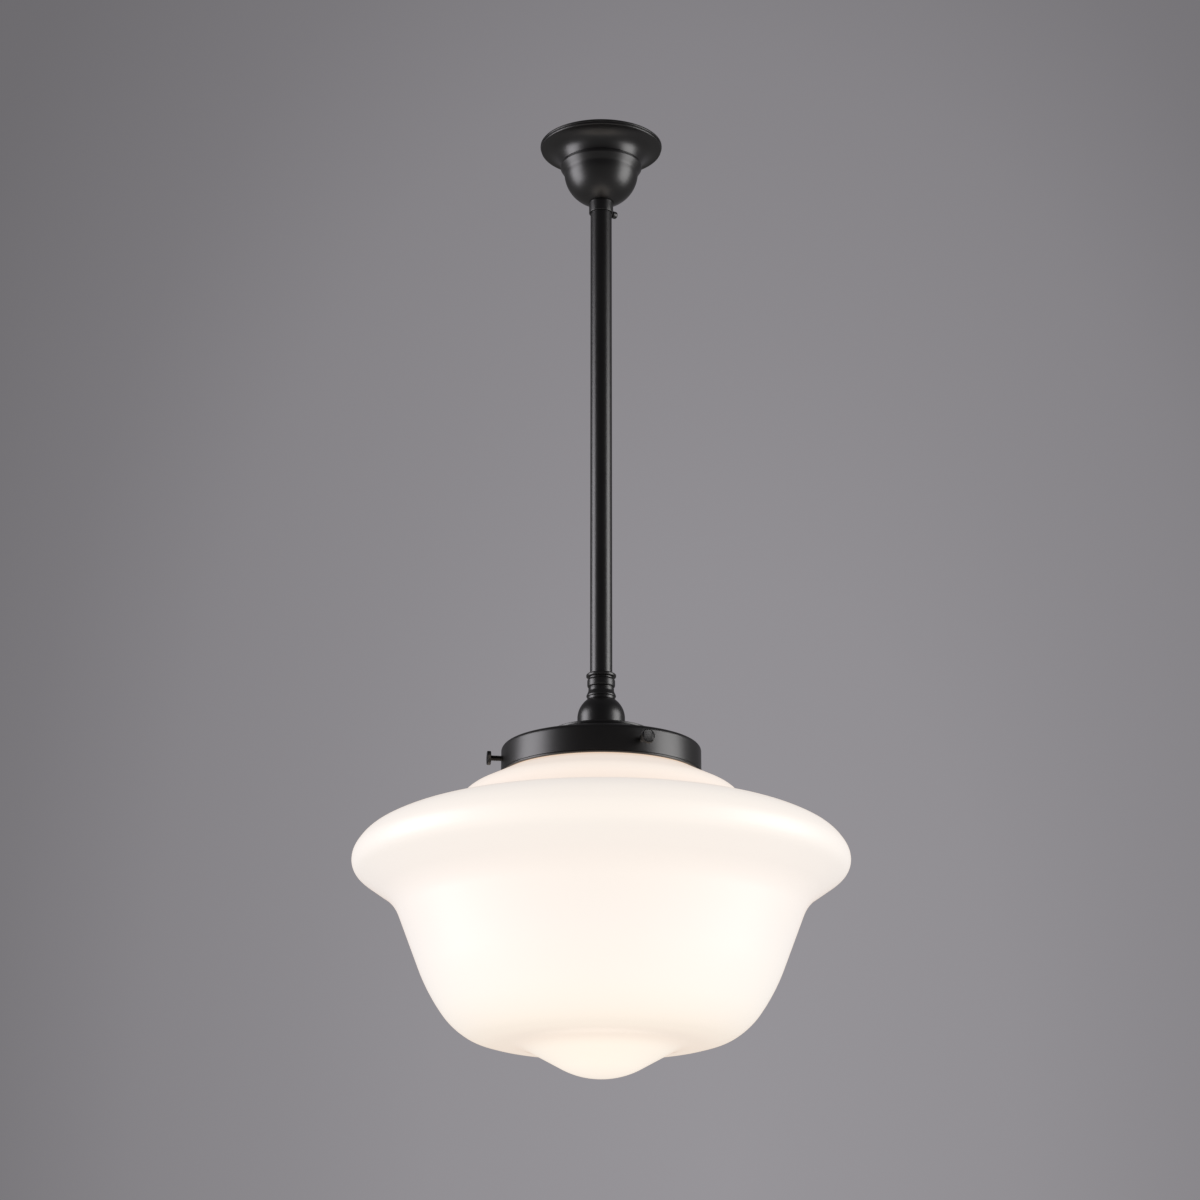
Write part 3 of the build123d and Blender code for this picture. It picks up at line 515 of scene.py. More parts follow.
@dataclass(frozen=True)
class SharedEffects:
    """The node groups that several finishes use."""

    grain: NodeTree = field(default_factory=grain_effect)
    dust: NodeTree = field(default_factory=dust_effect)
    wear_and_sheen: NodeTree = field(default_factory=edge_wear_and_sheen_effect)


class Sheet(Nodes):
    """A material's node tree round one shader."""

    def __init__(self, name: str) -> None:
        """Makes a material with only its shader and its output.

        Args:
            name: The material's name.
        """
        self.material: Material = bpy.data.materials.new(name)
        self.material.use_nodes = True
        super().__init__(self.material.node_tree)
        self.tree.nodes.clear()
        self.shader: Node = self.node("BsdfPrincipled", {})
        self.node("OutputMaterial", {"Surface": self.shader.outputs["BSDF"]})

    def shade(self, **values: NodeSocket | float) -> None:
        """Sets the shader's own inputs, by name with underscores for spaces."""
        self.fill(self.shader, {spaced(key): value for key, value in values.items()})

    def group(self, tree: NodeTree, **values: float) -> Node:
        """Places a shared effect with its own values.

        Args:
            tree: The effect's node group.
            **values: The group's inputs by name, with underscores for spaces.

        Returns:
            The group's node in this sheet.
        """
        made = self.node("Group", {}, node_tree=tree)
        self.fill(made, {spaced(key): value for key, value in values.items()})
        return made

    def blend(
        self,
        mask: NodeSocket | float,
        first: NodeSocket | Colour,
        second: NodeSocket | Colour,
        way: str = "MIX",
    ) -> NodeSocket:
        """A colour that goes from one to another with a mask.

        Args:
            mask: The mask, 0 for the first colour and 1 for the second.
            first: The first colour.
            second: The second colour.
            way: How the second is laid over the first.

        Returns:
            The mixed colour's socket.
        """
        inputs = {"Factor": mask, "A": first, "B": second}
        return self.node("Mix", inputs, data_type="RGBA", blend_type=way).outputs["Result"]

    def between(self, mask: NodeSocket, low: float, high: float) -> NodeSocket:
        """A value that goes from low to high with a mask."""
        inputs = {"Value": mask, "To Min": low, "To Max": high}
        return self.node("MapRange", inputs).outputs["Result"]

    def bump(self, height: NodeSocket, strength: float, distance: float) -> None:
        """Feeds a height to the shader's normal, with its strength and its size in metres."""
        made = self.node("Bump", {"Height": height, "Strength": strength, "Distance": distance})
        self.shade(Normal=made.outputs["Normal"])


@dataclass(frozen=True)
class Finish:
    """What every finish has: a name, and two colours that drift into each other."""

    name: str
    colour: Colour
    other: Colour

    def start(
        self, shared: SharedEffects, grain: float, cloud: float
    ) -> tuple[Sheet, Node, NodeSocket]:
        """Starts the material.

        Args:
            shared: The shared effects.
            grain: The scale of its grain.
            cloud: The scale of its drift of tone.

        Returns:
            The sheet, its grain and the socket of its drifting colour.
        """
        sheet = Sheet(self.name)
        texture = sheet.group(shared.grain, Grain_Scale=grain, Cloud_Scale=cloud)
        return sheet, texture, sheet.blend(texture.outputs["Cloud"], self.colour, self.other)


@dataclass(frozen=True)
class PaintedMetal(Finish):
    """Sprayed paint on metal: fine grain, a slow change of tone and faintly lighter edges, partly
    rubbed paint and partly painted sheen.
    """

    roughness: Pair = (0.31, 0.39)
    # Edge colour: rubbed paint and painted sheen on the sharp edges.
    worn_and_sheen: Colour = (0.012, 0.010, 0.009)
    dust_colour: Colour = (0.35, 0.33, 0.30)
    index: float = 1.8
    wear_and_sheen: float = 0.35
    dust: float = 0.012
    scales: Pair = (1500.0, 14.0)
    relief: Pair = (0.25, 0.00003)

    def material(self, shared: SharedEffects) -> Material:
        """Makes the material.

        Args:
            shared: The shared effects.

        Returns:
            The material.
        """
        sheet, grain, tone = self.start(shared, *self.scales)
        wear_and_sheen = sheet.group(shared.wear_and_sheen, Amount=self.wear_and_sheen)
        dust = sheet.group(shared.dust, Amount=self.dust)
        # Painted sheen and rubbed paint: sharp edges lightened towards the edge colour.
        tone = sheet.blend(wear_and_sheen.outputs["Wear"], tone, self.worn_and_sheen)
        tone = sheet.blend(dust.outputs["Dust"], tone, self.dust_colour)
        rough = sheet.between(grain.outputs["Cloud"], *self.roughness)
        sheet.bump(grain.outputs["Grain"], *self.relief)
        sheet.shade(Base_Color=tone, Roughness=rough, Metallic=0.0, IOR=self.index)
        return sheet.material


@dataclass(frozen=True)
class BareMetal(Finish):
    """Bare or plated metal with fine marks that run one way."""

    roughness: Pair = (0.26, 0.42)
    marks: tuple[float, float, float] = (900.0, 60.0, 60.0)
    mark_noise: Pair = (2.0, 3.0)
    scales: Pair = (700.0, 60.0)
    relief: Pair = (0.15, 0.00002)

    def material(self, shared: SharedEffects) -> Material:
        """Makes the material.

        Args:
            shared: The shared effects.

        Returns:
            The material.
        """
        sheet, _, tone = self.start(shared, *self.scales)
        stretch = sheet.node("Mapping", {"Scale": self.marks, "Vector": sheet.place()})
        marks = sheet.noise(stretch.outputs["Vector"], *self.mark_noise)
        sheet.bump(marks, *self.relief)
        sheet.shade(Base_Color=tone, Roughness=sheet.between(marks, *self.roughness), Metallic=1.0)
        return sheet.material


@dataclass(frozen=True)
class Moulding(Finish):
    """Moulded or glazed material: even colour, a soft mottle and a faint flow texture."""

    roughness: Pair = (0.35, 0.5)
    coat: float = 0.0
    dust: float = 0.12
    dust_colour: Colour = (0.42, 0.40, 0.37)
    scales: Pair = (1800.0, 90.0)
    relief: Pair = (0.15, 0.00003)

    def material(self, shared: SharedEffects) -> Material:
        """Makes the material.

        Args:
            shared: The shared effects.

        Returns:
            The material.
        """
        sheet, grain, tone = self.start(shared, *self.scales)
        dust = sheet.group(shared.dust, Amount=self.dust)
        tone = sheet.blend(dust.outputs["Dust"], tone, self.dust_colour)
        rough = sheet.between(grain.outputs["Cloud"], *self.roughness)
        sheet.bump(grain.outputs["Grain"], *self.relief)
        sheet.shade(Base_Color=tone, Roughness=rough, Coat_Weight=self.coat)
        return sheet.material


@dataclass(frozen=True)
class OpalGlass(Finish):
    """Cased opal glass with its lamp on: the lamp's light through the glass is painted as a warm
    glow by height, with painted shade at the foot's corner, in the notch's crease and up under the
    gallery, weaker and pinker seen edge on.
    """

    roughness: Pair = (0.36, 0.44)
    strength: float = 1.24
    index: float = 1.5
    edge_on_shade_blend: float = 0.35
    scales: Pair = (260.0, 7.0)
    relief: Pair = (0.05, 0.0004)
    # Painted shade seen edge on: how much of the painted glow is left as the glass turns away from
    # view.
    edge: Stops = (
        (0.0, (1.0, 1.0, 1.0)),
        (0.70, (0.80, 0.81, 0.83)),
        (0.86, (0.74, 0.73, 0.73)),
        (0.95, (0.60, 0.54, 0.51)),
        (1.0, (0.46, 0.38, 0.34)),
    )
    # Painted light: the lamp's glow through the glass at each height, in millimetres, with painted
    # shade at the foot's corner, in the notch's crease and up under the gallery.
    glow: Stops = (
        (-706.3, (0.86, 0.76, 0.65)),
        (-690.0, (0.83, 0.74, 0.63)),
        # Painted shade: a darker band at the foot's corner.
        (-684.5, (0.80, 0.68, 0.57)),
        (-681.0, (0.81, 0.71, 0.60)),
        (-672.0, (0.79, 0.71, 0.62)),
        (-655.0, (0.76, 0.70, 0.63)),
        (-620.0, (0.73, 0.67, 0.615)),
        (-583.0, (0.72, 0.65, 0.59)),
        (-562.0, (0.725, 0.665, 0.605)),
        (-545.0, (0.71, 0.65, 0.59)),
        (-526.0, (0.72, 0.66, 0.60)),
        (-523.4, (0.71, 0.63, 0.56)),
        # Painted shade: a thin dark line in the notch's crease.
        (-522.2, (0.30, 0.23, 0.19)),
        (-520.8, (0.68, 0.57, 0.49)),
        (-508.0, (0.73, 0.64, 0.56)),
        (-497.0, (0.73, 0.62, 0.53)),
        # Painted light at the gallery's lower edge, then painted shade up under the gallery.
        (-492.0, (0.66, 0.48, 0.34)),
        (-484.0, (0.34, 0.22, 0.14)),
        (-477.2, (0.34, 0.24, 0.17)),
    )

    def material(self, shared: SharedEffects) -> Material:
        """Makes the material from the painted glow's colour at each height.

        Args:
            shared: The shared effects.

        Returns:
            The material.
        """
        sheet, grain, tone = self.start(shared, *self.scales)
        low, high = self.glow[0][0], self.glow[-1][0]
        height = sheet.node("SeparateXYZ", {"Vector": sheet.place()}).outputs["Z"]
        inputs = {"Value": height, "From Min": low * METRE, "From Max": high * METRE}
        share = sheet.node("MapRange", inputs)
        stops = [((z - low) / (high - low), colour) for z, colour in self.glow]
        painted_glow_by_height = sheet.ramp(share.outputs["Result"], stops)
        # Painted shade: the glow is made weaker and pinker where the glass is seen edge on.
        facing = sheet.node("LayerWeight", {"Blend": self.edge_on_shade_blend}).outputs["Facing"]
        light = sheet.blend(1.0, painted_glow_by_height, sheet.ramp(facing, self.edge), "MULTIPLY")
        rough = sheet.between(grain.outputs["Cloud"], *self.roughness)
        sheet.bump(grain.outputs["Cloud"], *self.relief)
        sheet.shade(Base_Color=tone, Roughness=rough, IOR=self.index, Metallic=0.0)
        # Painted light: the lamp's light through the glass is given as emission, not sent through
        # it.
        sheet.shade(Transmission_Weight=0.0, Emission_Color=light, Emission_Strength=self.strength)
        return sheet.material


@dataclass(frozen=True)
class LitDiffuser(Finish):
    """The lamp's frosted plastic, glowing."""

    roughness: float = 0.45
    glow: float = 0.6
    scales: Pair = (900.0, 40.0)
    relief: Pair = (0.1, 0.00003)
    light: tuple[Colour, Colour] = ((1.0, 0.82, 0.62), (1.0, 0.86, 0.70))

    def material(self, shared: SharedEffects) -> Material:
        """Makes the material.

        Args:
            shared: The shared effects.

        Returns:
            The material.
        """
        sheet, grain, tone = self.start(shared, *self.scales)
        light = sheet.blend(grain.outputs["Cloud"], *self.light)
        sheet.bump(grain.outputs["Grain"], *self.relief)
        sheet.shade(Base_Color=tone, Roughness=self.roughness)
        sheet.shade(Emission_Color=light, Emission_Strength=self.glow)
        return sheet.material


class FinishName(Enum):
    """The record's material slots."""

    SATIN_BLACK = "satin_black"
    ZINC_STEEL = "zinc_steel"
    GREEN_SCREW = "green_screw"
    BRASS = "brass"
    NICKEL = "nickel_shell"
    TERMINAL = "terminal_plastic"
    HOLDER = "holder_plastic"
    CERAMIC = "ceramic"
    LIVE = "live_insulation"
    NEUTRAL = "neutral_insulation"
    EARTH = "earth_insulation"
    OPAL = "opal_glass"
    LAMP_WHITE = "lamp_white"
    DIFFUSER = "lamp_diffuser"
    BLACK_GLASS = "black_glass"
    SOLDER = "solder"


FINISHES: dict[FinishName, Finish] = {
    FinishName.SATIN_BLACK: PaintedMetal(
        "satin_black", (0.0026, 0.0023, 0.0024), (0.0034, 0.0029, 0.0028)
    ),
    FinishName.ZINC_STEEL: BareMetal("zinc_steel", (0.60, 0.60, 0.61), (0.50, 0.50, 0.47)),
    FinishName.GREEN_SCREW: BareMetal("green_screw", (0.08, 0.34, 0.13), (0.12, 0.38, 0.12)),
    FinishName.BRASS: BareMetal("brass", (0.78, 0.58, 0.26), (0.66, 0.46, 0.19)),
    FinishName.NICKEL: BareMetal("nickel", (0.76, 0.74, 0.70), (0.68, 0.65, 0.60), (0.2, 0.32)),
    FinishName.TERMINAL: Moulding("terminal_plastic", (0.80, 0.78, 0.71), (0.76, 0.73, 0.66)),
    FinishName.HOLDER: Moulding(
        "holder_plastic", (0.012, 0.012, 0.012), (0.018, 0.016, 0.015), (0.22, 0.32), coat=0.2
    ),
    FinishName.CERAMIC: Moulding(
        "ceramic", (0.84, 0.82, 0.76), (0.80, 0.77, 0.70), (0.12, 0.2), coat=0.5
    ),
    FinishName.LIVE: Moulding("live_insulation", (0.012, 0.012, 0.012), (0.02, 0.02, 0.02)),
    FinishName.NEUTRAL: Moulding("neutral_insulation", (0.78, 0.78, 0.75), (0.72, 0.71, 0.68)),
    FinishName.EARTH: Moulding("earth_insulation", (0.03, 0.25, 0.06), (0.04, 0.29, 0.08)),
    FinishName.OPAL: OpalGlass("opal_glass", (0.36, 0.355, 0.35), (0.34, 0.335, 0.33)),
    FinishName.LAMP_WHITE: Moulding("lamp_white", (0.82, 0.81, 0.78), (0.78, 0.77, 0.73)),
    FinishName.DIFFUSER: LitDiffuser(
        "lit_diffuser", (0.5, 0.49, 0.46), tuple(0.95 * c for c in (0.5, 0.49, 0.46))
    ),
    FinishName.BLACK_GLASS: Moulding(
        "black_glass", (0.008, 0.008, 0.009), (0.014, 0.013, 0.013), (0.08, 0.15)
    ),
    FinishName.SOLDER: BareMetal("solder", (0.66, 0.66, 0.66), (0.52, 0.52, 0.54), (0.3, 0.45)),
}


class Palette:
    """Makes each finish's material once and hands it out."""

    def __init__(self) -> None:
        """Builds the shared effects and an empty shelf."""
        self.shared: SharedEffects = SharedEffects()
        self.made: dict[FinishName, Material] = {}

    def get(self, finish: FinishName) -> Material:
        """The material of a finish, made when first asked for.

        Args:
            finish: The finish.

        Returns:
            Its material.
        """
        if finish not in self.made:
            self.made[finish] = FINISHES[finish].material(self.shared)
        return self.made[finish]


# Pieces


def placed(name: str, data: ID) -> Object:
    """Puts an object in the scene.

    Args:
        name: The object's name.
        data: What it shows.

    Returns:
        The object.
    """
    thing = bpy.data.objects.new(name, data)
    bpy.context.scene.collection.objects.link(thing)
    return thing


def stored(name: str, shape: BMesh) -> Mesh:
    """Stores a working mesh.

    Args:
        name: The name to store it under.
        shape: The working mesh, which is freed.

    Returns:
        The stored mesh.
    """
    mesh = bpy.data.meshes.new(name)
    shape.to_mesh(mesh)
    shape.free()
    return mesh


def shade_smooth(mesh: Mesh, angle: float) -> None:
    """Shades a mesh smooth and keeps edges sharper than an angle, in degrees."""
    mesh.polygons.foreach_set("use_smooth", [True] * len(mesh.polygons))
    mesh.set_sharp_from_angle(angle=radians(angle))


Kept = tuple[tuple[str, FinishName, float], ...]


@dataclass
class Fitting:
    """What every sub-assembly shares: its palette, and the nodes whose shapes it keeps.

    Each kept node is named with its finish and the width that its edges are softened by.
    """

    palette: Palette
    kept: Kept = ()

    def piece(
        self,
        name: str,
        shape: BMesh,
        body: str,
        *nodes: str,
        finish: FinishName = FinishName.SATIN_BLACK,
        angle: float = SMOOTH_ANGLE,
    ) -> Object:
        """Finishes a mesh made in millimetres as a piece of the lamp.

        Args:
            name: The piece's name.
            shape: Its mesh, which is freed.
            body: The body it rides on.
            *nodes: The construction nodes it stands for.
            finish: Its finish.
            angle: Edges sharper than this, in degrees, stay sharp.

        Returns:
            The finished object.
        """
        shape.transform(Matrix.Scale(METRE, 4))
        return self.hang(name, stored(name, shape), body, nodes, finish, angle)

    def hang(
        self,
        name: str,
        mesh: Mesh,
        body: str,
        nodes: Sequence[str],
        finish: FinishName,
        angle: float,
    ) -> Object:
        """Dresses a mesh in metres and hangs it on its body.

        Args:
            name: The piece's name.
            mesh: Its mesh.
            body: The body it rides on.
            nodes: The construction nodes it stands for.
            finish: Its finish.
            angle: Edges sharper than this, in degrees, stay sharp.

        Returns:
            The finished object.
        """
        shade_smooth(mesh, angle)
        thing = placed(name, mesh)
        mesh.materials.clear()
        mesh.materials.append(self.palette.get(finish))
        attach(thing, body)
        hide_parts(*nodes)
        log.info("%s: %d faces on %s", name, len(mesh.polygons), body)
        return thing

    def refined(self, node: str, finish: FinishName, bevel: float) -> None:
        """Copies a construction node as clean faces with softened edges.

        Args:
            node: The node that the piece stands for.
            finish: Its finish.
            bevel: The width of its softened edges, in millimetres.
        """
        source = frame["nodes"][node]
        shape = bmesh.new()
        shape.from_mesh(source.data)
        bmesh.ops.remove_doubles(shape, verts=shape.verts[:], dist=1e-6)
        flat = radians(1.0)
        bmesh.ops.dissolve_limit(
            shape, angle_limit=flat, verts=shape.verts[:], edges=shape.edges[:], delimit={"NORMAL"}
        )
        mesh, body = stored(node, shape), source["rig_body"]
        thing = self.hang(node + "_piece", mesh, body, (node,), finish, SMOOTH_ANGLE)
        if bevel > 0:
            soft = thing.modifiers.new("soft_edges", "BEVEL")
            soft.width = bevel * METRE
            soft.segments = 2
            soft.limit_method = "ANGLE"
            soft.angle_limit = radians(40)
            soft.harden_normals = True

    def shapes(self) -> None:
        """Builds the meshes that the sub-assembly makes anew, if it has any."""

    def build(self) -> None:
        """Builds the new meshes and refines the kept nodes."""
        self.shapes()
        for node, finish, bevel in self.kept:
            self.refined(node, finish, bevel)


@dataclass
class CeilingFitting(Fitting):
    """The slotted strap and its earth screw, on the ceiling."""

    kept: Kept = (
        ("ceiling_plate", FinishName.ZINC_STEEL, 0.25),
        ("earth_washer", FinishName.BRASS, 0.12),
        ("earth_screw", FinishName.GREEN_SCREW, 0.12),
    )


@dataclass
class Swivel(Fitting):
    """The forked stud that turns in the strap, with its nut, washer, pin and clip."""

    kept: Kept = (
        ("swivel_fork", FinishName.ZINC_STEEL, 0.2),
        ("swivel_washer", FinishName.ZINC_STEEL, 0.15),
        ("swivel_nut", FinishName.ZINC_STEEL, 0.15),
        ("pivot_pin", FinishName.ZINC_STEEL, 0.15),
        ("pin_clip", FinishName.ZINC_STEEL, 0.15),
    )


@dataclass
class Canopy(Fitting):
    """The spun canopy shell and the slip ring that carries it on the rod."""

    radius: float = 46.1
    wall: float = 0.9
    rim_height: float = 3.5
    rim_bead: float = 0.5
    crease_radius: float = 29.6
    crease_drop: float = 16.8
    step_radius: float = 30.7
    step_height: float = 1.6
    groove: float = 0.5
    cup_radius: float = 26.8
    cup_centre_radius: float = 1.15
    cup_centre_drop: float = 21.6
    cup_top_drop: float = 23.0
    hole_radius: float = 8.4
    base_radius: float = 9.5
    ring_radius: float = 9.1
    ring_bore: float = 8.05
    ring_gap: float = 0.02
    flare_steps: int = 28
    cup_steps: int = 32

    def flare(self, out: float) -> list[Corner]:
        """The quarter ellipse of the flared rim.

        Args:
            out: How far inside the outer face the line lies.

        Returns:
            The line's points from the rim down to the crease.
        """
        middle = self.radius - self.rim_bead - self.wall
        wide = middle - self.crease_radius + out
        high = self.crease_drop - self.rim_height + out
        points = []
        for step in range(1, self.flare_steps + 1):
            angle = pi / 2 * step / self.flare_steps
            points.append(Corner(middle - wide * sin(angle), -self.crease_drop + high * cos(angle)))
        return points

    def cup(self, radius: float, start: float, end: float) -> list[Corner]:
        """The cup's round wall.

        Args:
            radius: The wall's radius.
            start: The height it starts at.
            end: The radius from the axis that it ends at.

        Returns:
            The points of the wall from top to bottom.
        """
        first = acos((start + self.cup_centre_drop) / -radius)
        last = acos((end - self.cup_centre_radius) / radius)
        first = pi / 2 - first
        points = []
        for step in range(self.cup_steps + 1):
            angle = first + (last - first) * step / self.cup_steps
            out, drop = radius * cos(angle), self.cup_centre_drop + radius * sin(angle)
            points.append(Corner(self.cup_centre_radius + out, -drop))
        return points

    def shell(self) -> BMesh:
        """The canopy's closed outline, spun: outer face down to the hole, then the inner face up.

        Returns:
            The shell's mesh.
        """
        radius, bead, wall = self.radius, self.rim_bead, self.wall
        inner_rim = radius - bead - wall
        step_end = -self.crease_drop - self.step_height
        outer_cup = self.cup(self.cup_radius, -self.cup_top_drop, self.base_radius)
        inner_cup = self.cup(self.cup_radius - wall, -self.cup_top_drop, self.base_radius)
        bottom = outer_cup[-1].height
        return turned([
            Corner(inner_rim, 0),
            Corner(radius, 0, 0.35),
            Corner(radius, -self.rim_height / 2 + 0.1, 0.5),
            Corner(radius - 1.6 * bead, -self.rim_height / 2, 0.06),
            Corner(radius - bead, -self.rim_height / 2 - 0.2, 0.12),
            Corner(radius - bead, -self.rim_height, 0.75),
            Corner(inner_rim, -self.rim_height),
            *self.flare(0)[:-2],
            Corner(self.crease_radius - self.groove, -self.crease_drop + 1.4, 0.15),
            Corner(self.crease_radius - self.groove, -self.crease_drop, 0.1),
            Corner(self.step_radius, -self.crease_drop, 0.25),
            Corner(self.step_radius, step_end, 1.2),
            Corner(outer_cup[0].radius, outer_cup[0].height, 5.0),
            *outer_cup[3:],
            Corner(self.hole_radius, bottom),
            Corner(self.hole_radius, bottom + wall),
            Corner(self.base_radius, bottom + wall),
            *reversed(inner_cup[:-1]),
            Corner(self.step_radius - wall, step_end, 0.3),
            Corner(self.step_radius - wall, -self.crease_drop - wall, 0.3),
            *reversed(self.flare(wall)),
            Corner(inner_rim, -self.rim_height + wall, 0.2),
        ])

    def shapes(self) -> None:
        """Builds the shell and the slip ring."""
        self.piece("canopy_spun_shell", self.shell(), Body.CANOPY.value, "canopy_shell")
        low, high = levels("slip_ring")
        ring = turned([
            Corner(self.ring_bore, low + 1),
            Corner(self.ring_bore, low, 0.25),
            Corner(self.ring_radius, low, 0.45),
            Corner(self.ring_radius, high - self.ring_gap, 0.3),
            Corner(self.ring_bore, high - self.ring_gap, 0.2),
        ])
        self.piece("slip_ring_turned", ring, Body.CANOPY.value, "slip_ring")


@dataclass
class RingScrew(Fitting):
    """The small screw that grips the rod through the slip ring."""

    azimuth: float = 35.0
    height: float = -53.87
    tip: float = 8.1
    head_inner: float = 9.9
    head_length: float = 4.1
    head_radius: float = 2.7
    shank_radius: float = 1.25
    thread_depth: float = 0.22
    pitch: float = 0.45

    def shapes(self) -> None:
        """Builds the threaded shank and the round head."""
        place = outward(self.azimuth, 0, self.height)
        foot = self.head_inner + 0.1  # the shank ends a little inside the head
        shank = threaded(self.shank_radius, self.thread_depth, self.pitch, self.tip, foot)
        shank.transform(place)
        self.piece("ring_screw_thread", shank, Body.RING_SCREW.value, "ring_screw_shank")
        low, high = self.head_inner, self.head_inner + self.head_length
        head = turned([
            Corner(0, low),
            Corner(self.head_radius - 0.25, low, 0.2),
            Corner(self.head_radius, low + 0.3, 0.2),
            Corner(self.head_radius, high, 1.25),
            Corner(0, high),
        ], SMALL_STEPS)
        head.transform(place)
        self.piece("ring_screw_round_head", head, Body.RING_KNOB.value, "ring_screw_head")


@dataclass
class Rod(Fitting):
    """The tube rod, its head, the turned collar at its foot and the bush inside."""

    radius: float = 8.0
    bore: float = 7.0
    nipple_hole: float = 5.15
    flange_radius: float = 10.75
    neck_radius: float = 9.65
    band_radius: float = 10.0
    band_start: float = 3.6
    band_stop: float = 10.2
    groove_radius: float = 9.1
    cove_radius: float = 9.2
    cove_length: float = 3.2
    foot_radius: float = 10.65
    foot_edge: float = 10.0
    rod_fit: float = 8.03
    floor: float = 2.6
    kept: Kept = (
        ("rod_head", FinishName.SATIN_BLACK, 0.3),
        ("rod_bush", FinishName.ZINC_STEEL, 0.15),
    )

    def tube(self) -> BMesh:
        """The rod as a tube with softened ends.

        Returns:
            The tube's mesh.
        """
        low, high = levels("down_rod")
        return turned([
            Corner(self.bore, (low + high) / 2),
            Corner(self.bore, low, 0.15),
            Corner(self.radius, low, 0.25),
            Corner(self.radius, high, 0.25),
            Corner(self.bore, high, 0.15),
        ])

    def collar(self) -> BMesh:
        """The collar's turned outline: flange, rounded band, groove, cove and flared foot.

        Returns:
            The collar's mesh.
        """
        end, top = levels("rod_collar")
        band_top, band_end = top - self.band_start, top - self.band_stop
        cove_end = band_end - self.cove_length
        return turned([
            Corner(self.nipple_hole, end + 0.4),
            Corner(self.nipple_hole, end + self.floor),
            Corner(self.rod_fit, end + self.floor),
            Corner(self.rod_fit, top, 0.15),
            Corner(self.neck_radius + 0.15, top, 0.3),
            Corner(self.flange_radius, top - 0.75, 0.9),
            Corner(self.flange_radius, top - 2.45, 0.8),
            Corner(self.neck_radius - 0.5, top - 2.95, 0.12),
            Corner(self.neck_radius - 0.5, band_top - 0.2, 0.1),
            Corner(self.band_radius, band_top - 0.9, 2.4),
            Corner(self.band_radius, band_end + 0.9, 2.4),
            Corner(self.neck_radius - 0.4, band_end + 0.1, 0.12),
            Corner(self.groove_radius - 0.3, band_end, 0.1),
            Corner(self.groove_radius - 0.3, band_end - 0.7, 0.1),
            Corner(self.cove_radius, band_end - 0.8, 0.3),
            Corner(self.cove_radius, cove_end + 0.4, 2.6),
            Corner(self.foot_radius, cove_end - 2.9, 0.7),
            Corner(self.foot_radius - 0.1, cove_end - 3.6, 0.5),
            Corner(self.foot_edge, cove_end - 4.2, 0.35),
            Corner(self.foot_edge, end, 0.1),
            Corner(self.nipple_hole, end, 0.1),
        ])

    def shapes(self) -> None:
        """Builds the rod and its collar."""
        self.piece("down_rod_tube", self.tube(), Body.PENDANT.value, "down_rod")
        self.piece("rod_collar_turned", self.collar(), Body.PENDANT.value, "rod_collar")


@dataclass
class Wiring(Fitting):
    """The terminal block with its screws, and the three wires."""

    kept: Kept = (
        ("terminal_block", FinishName.TERMINAL, 0.3),
        ("terminal_screws", FinishName.ZINC_STEEL, 0.08),
        ("live_wire", FinishName.LIVE, 0),
        ("neutral_wire", FinishName.NEUTRAL, 0),
        ("earth_wire", FinishName.EARTH, 0),
    )


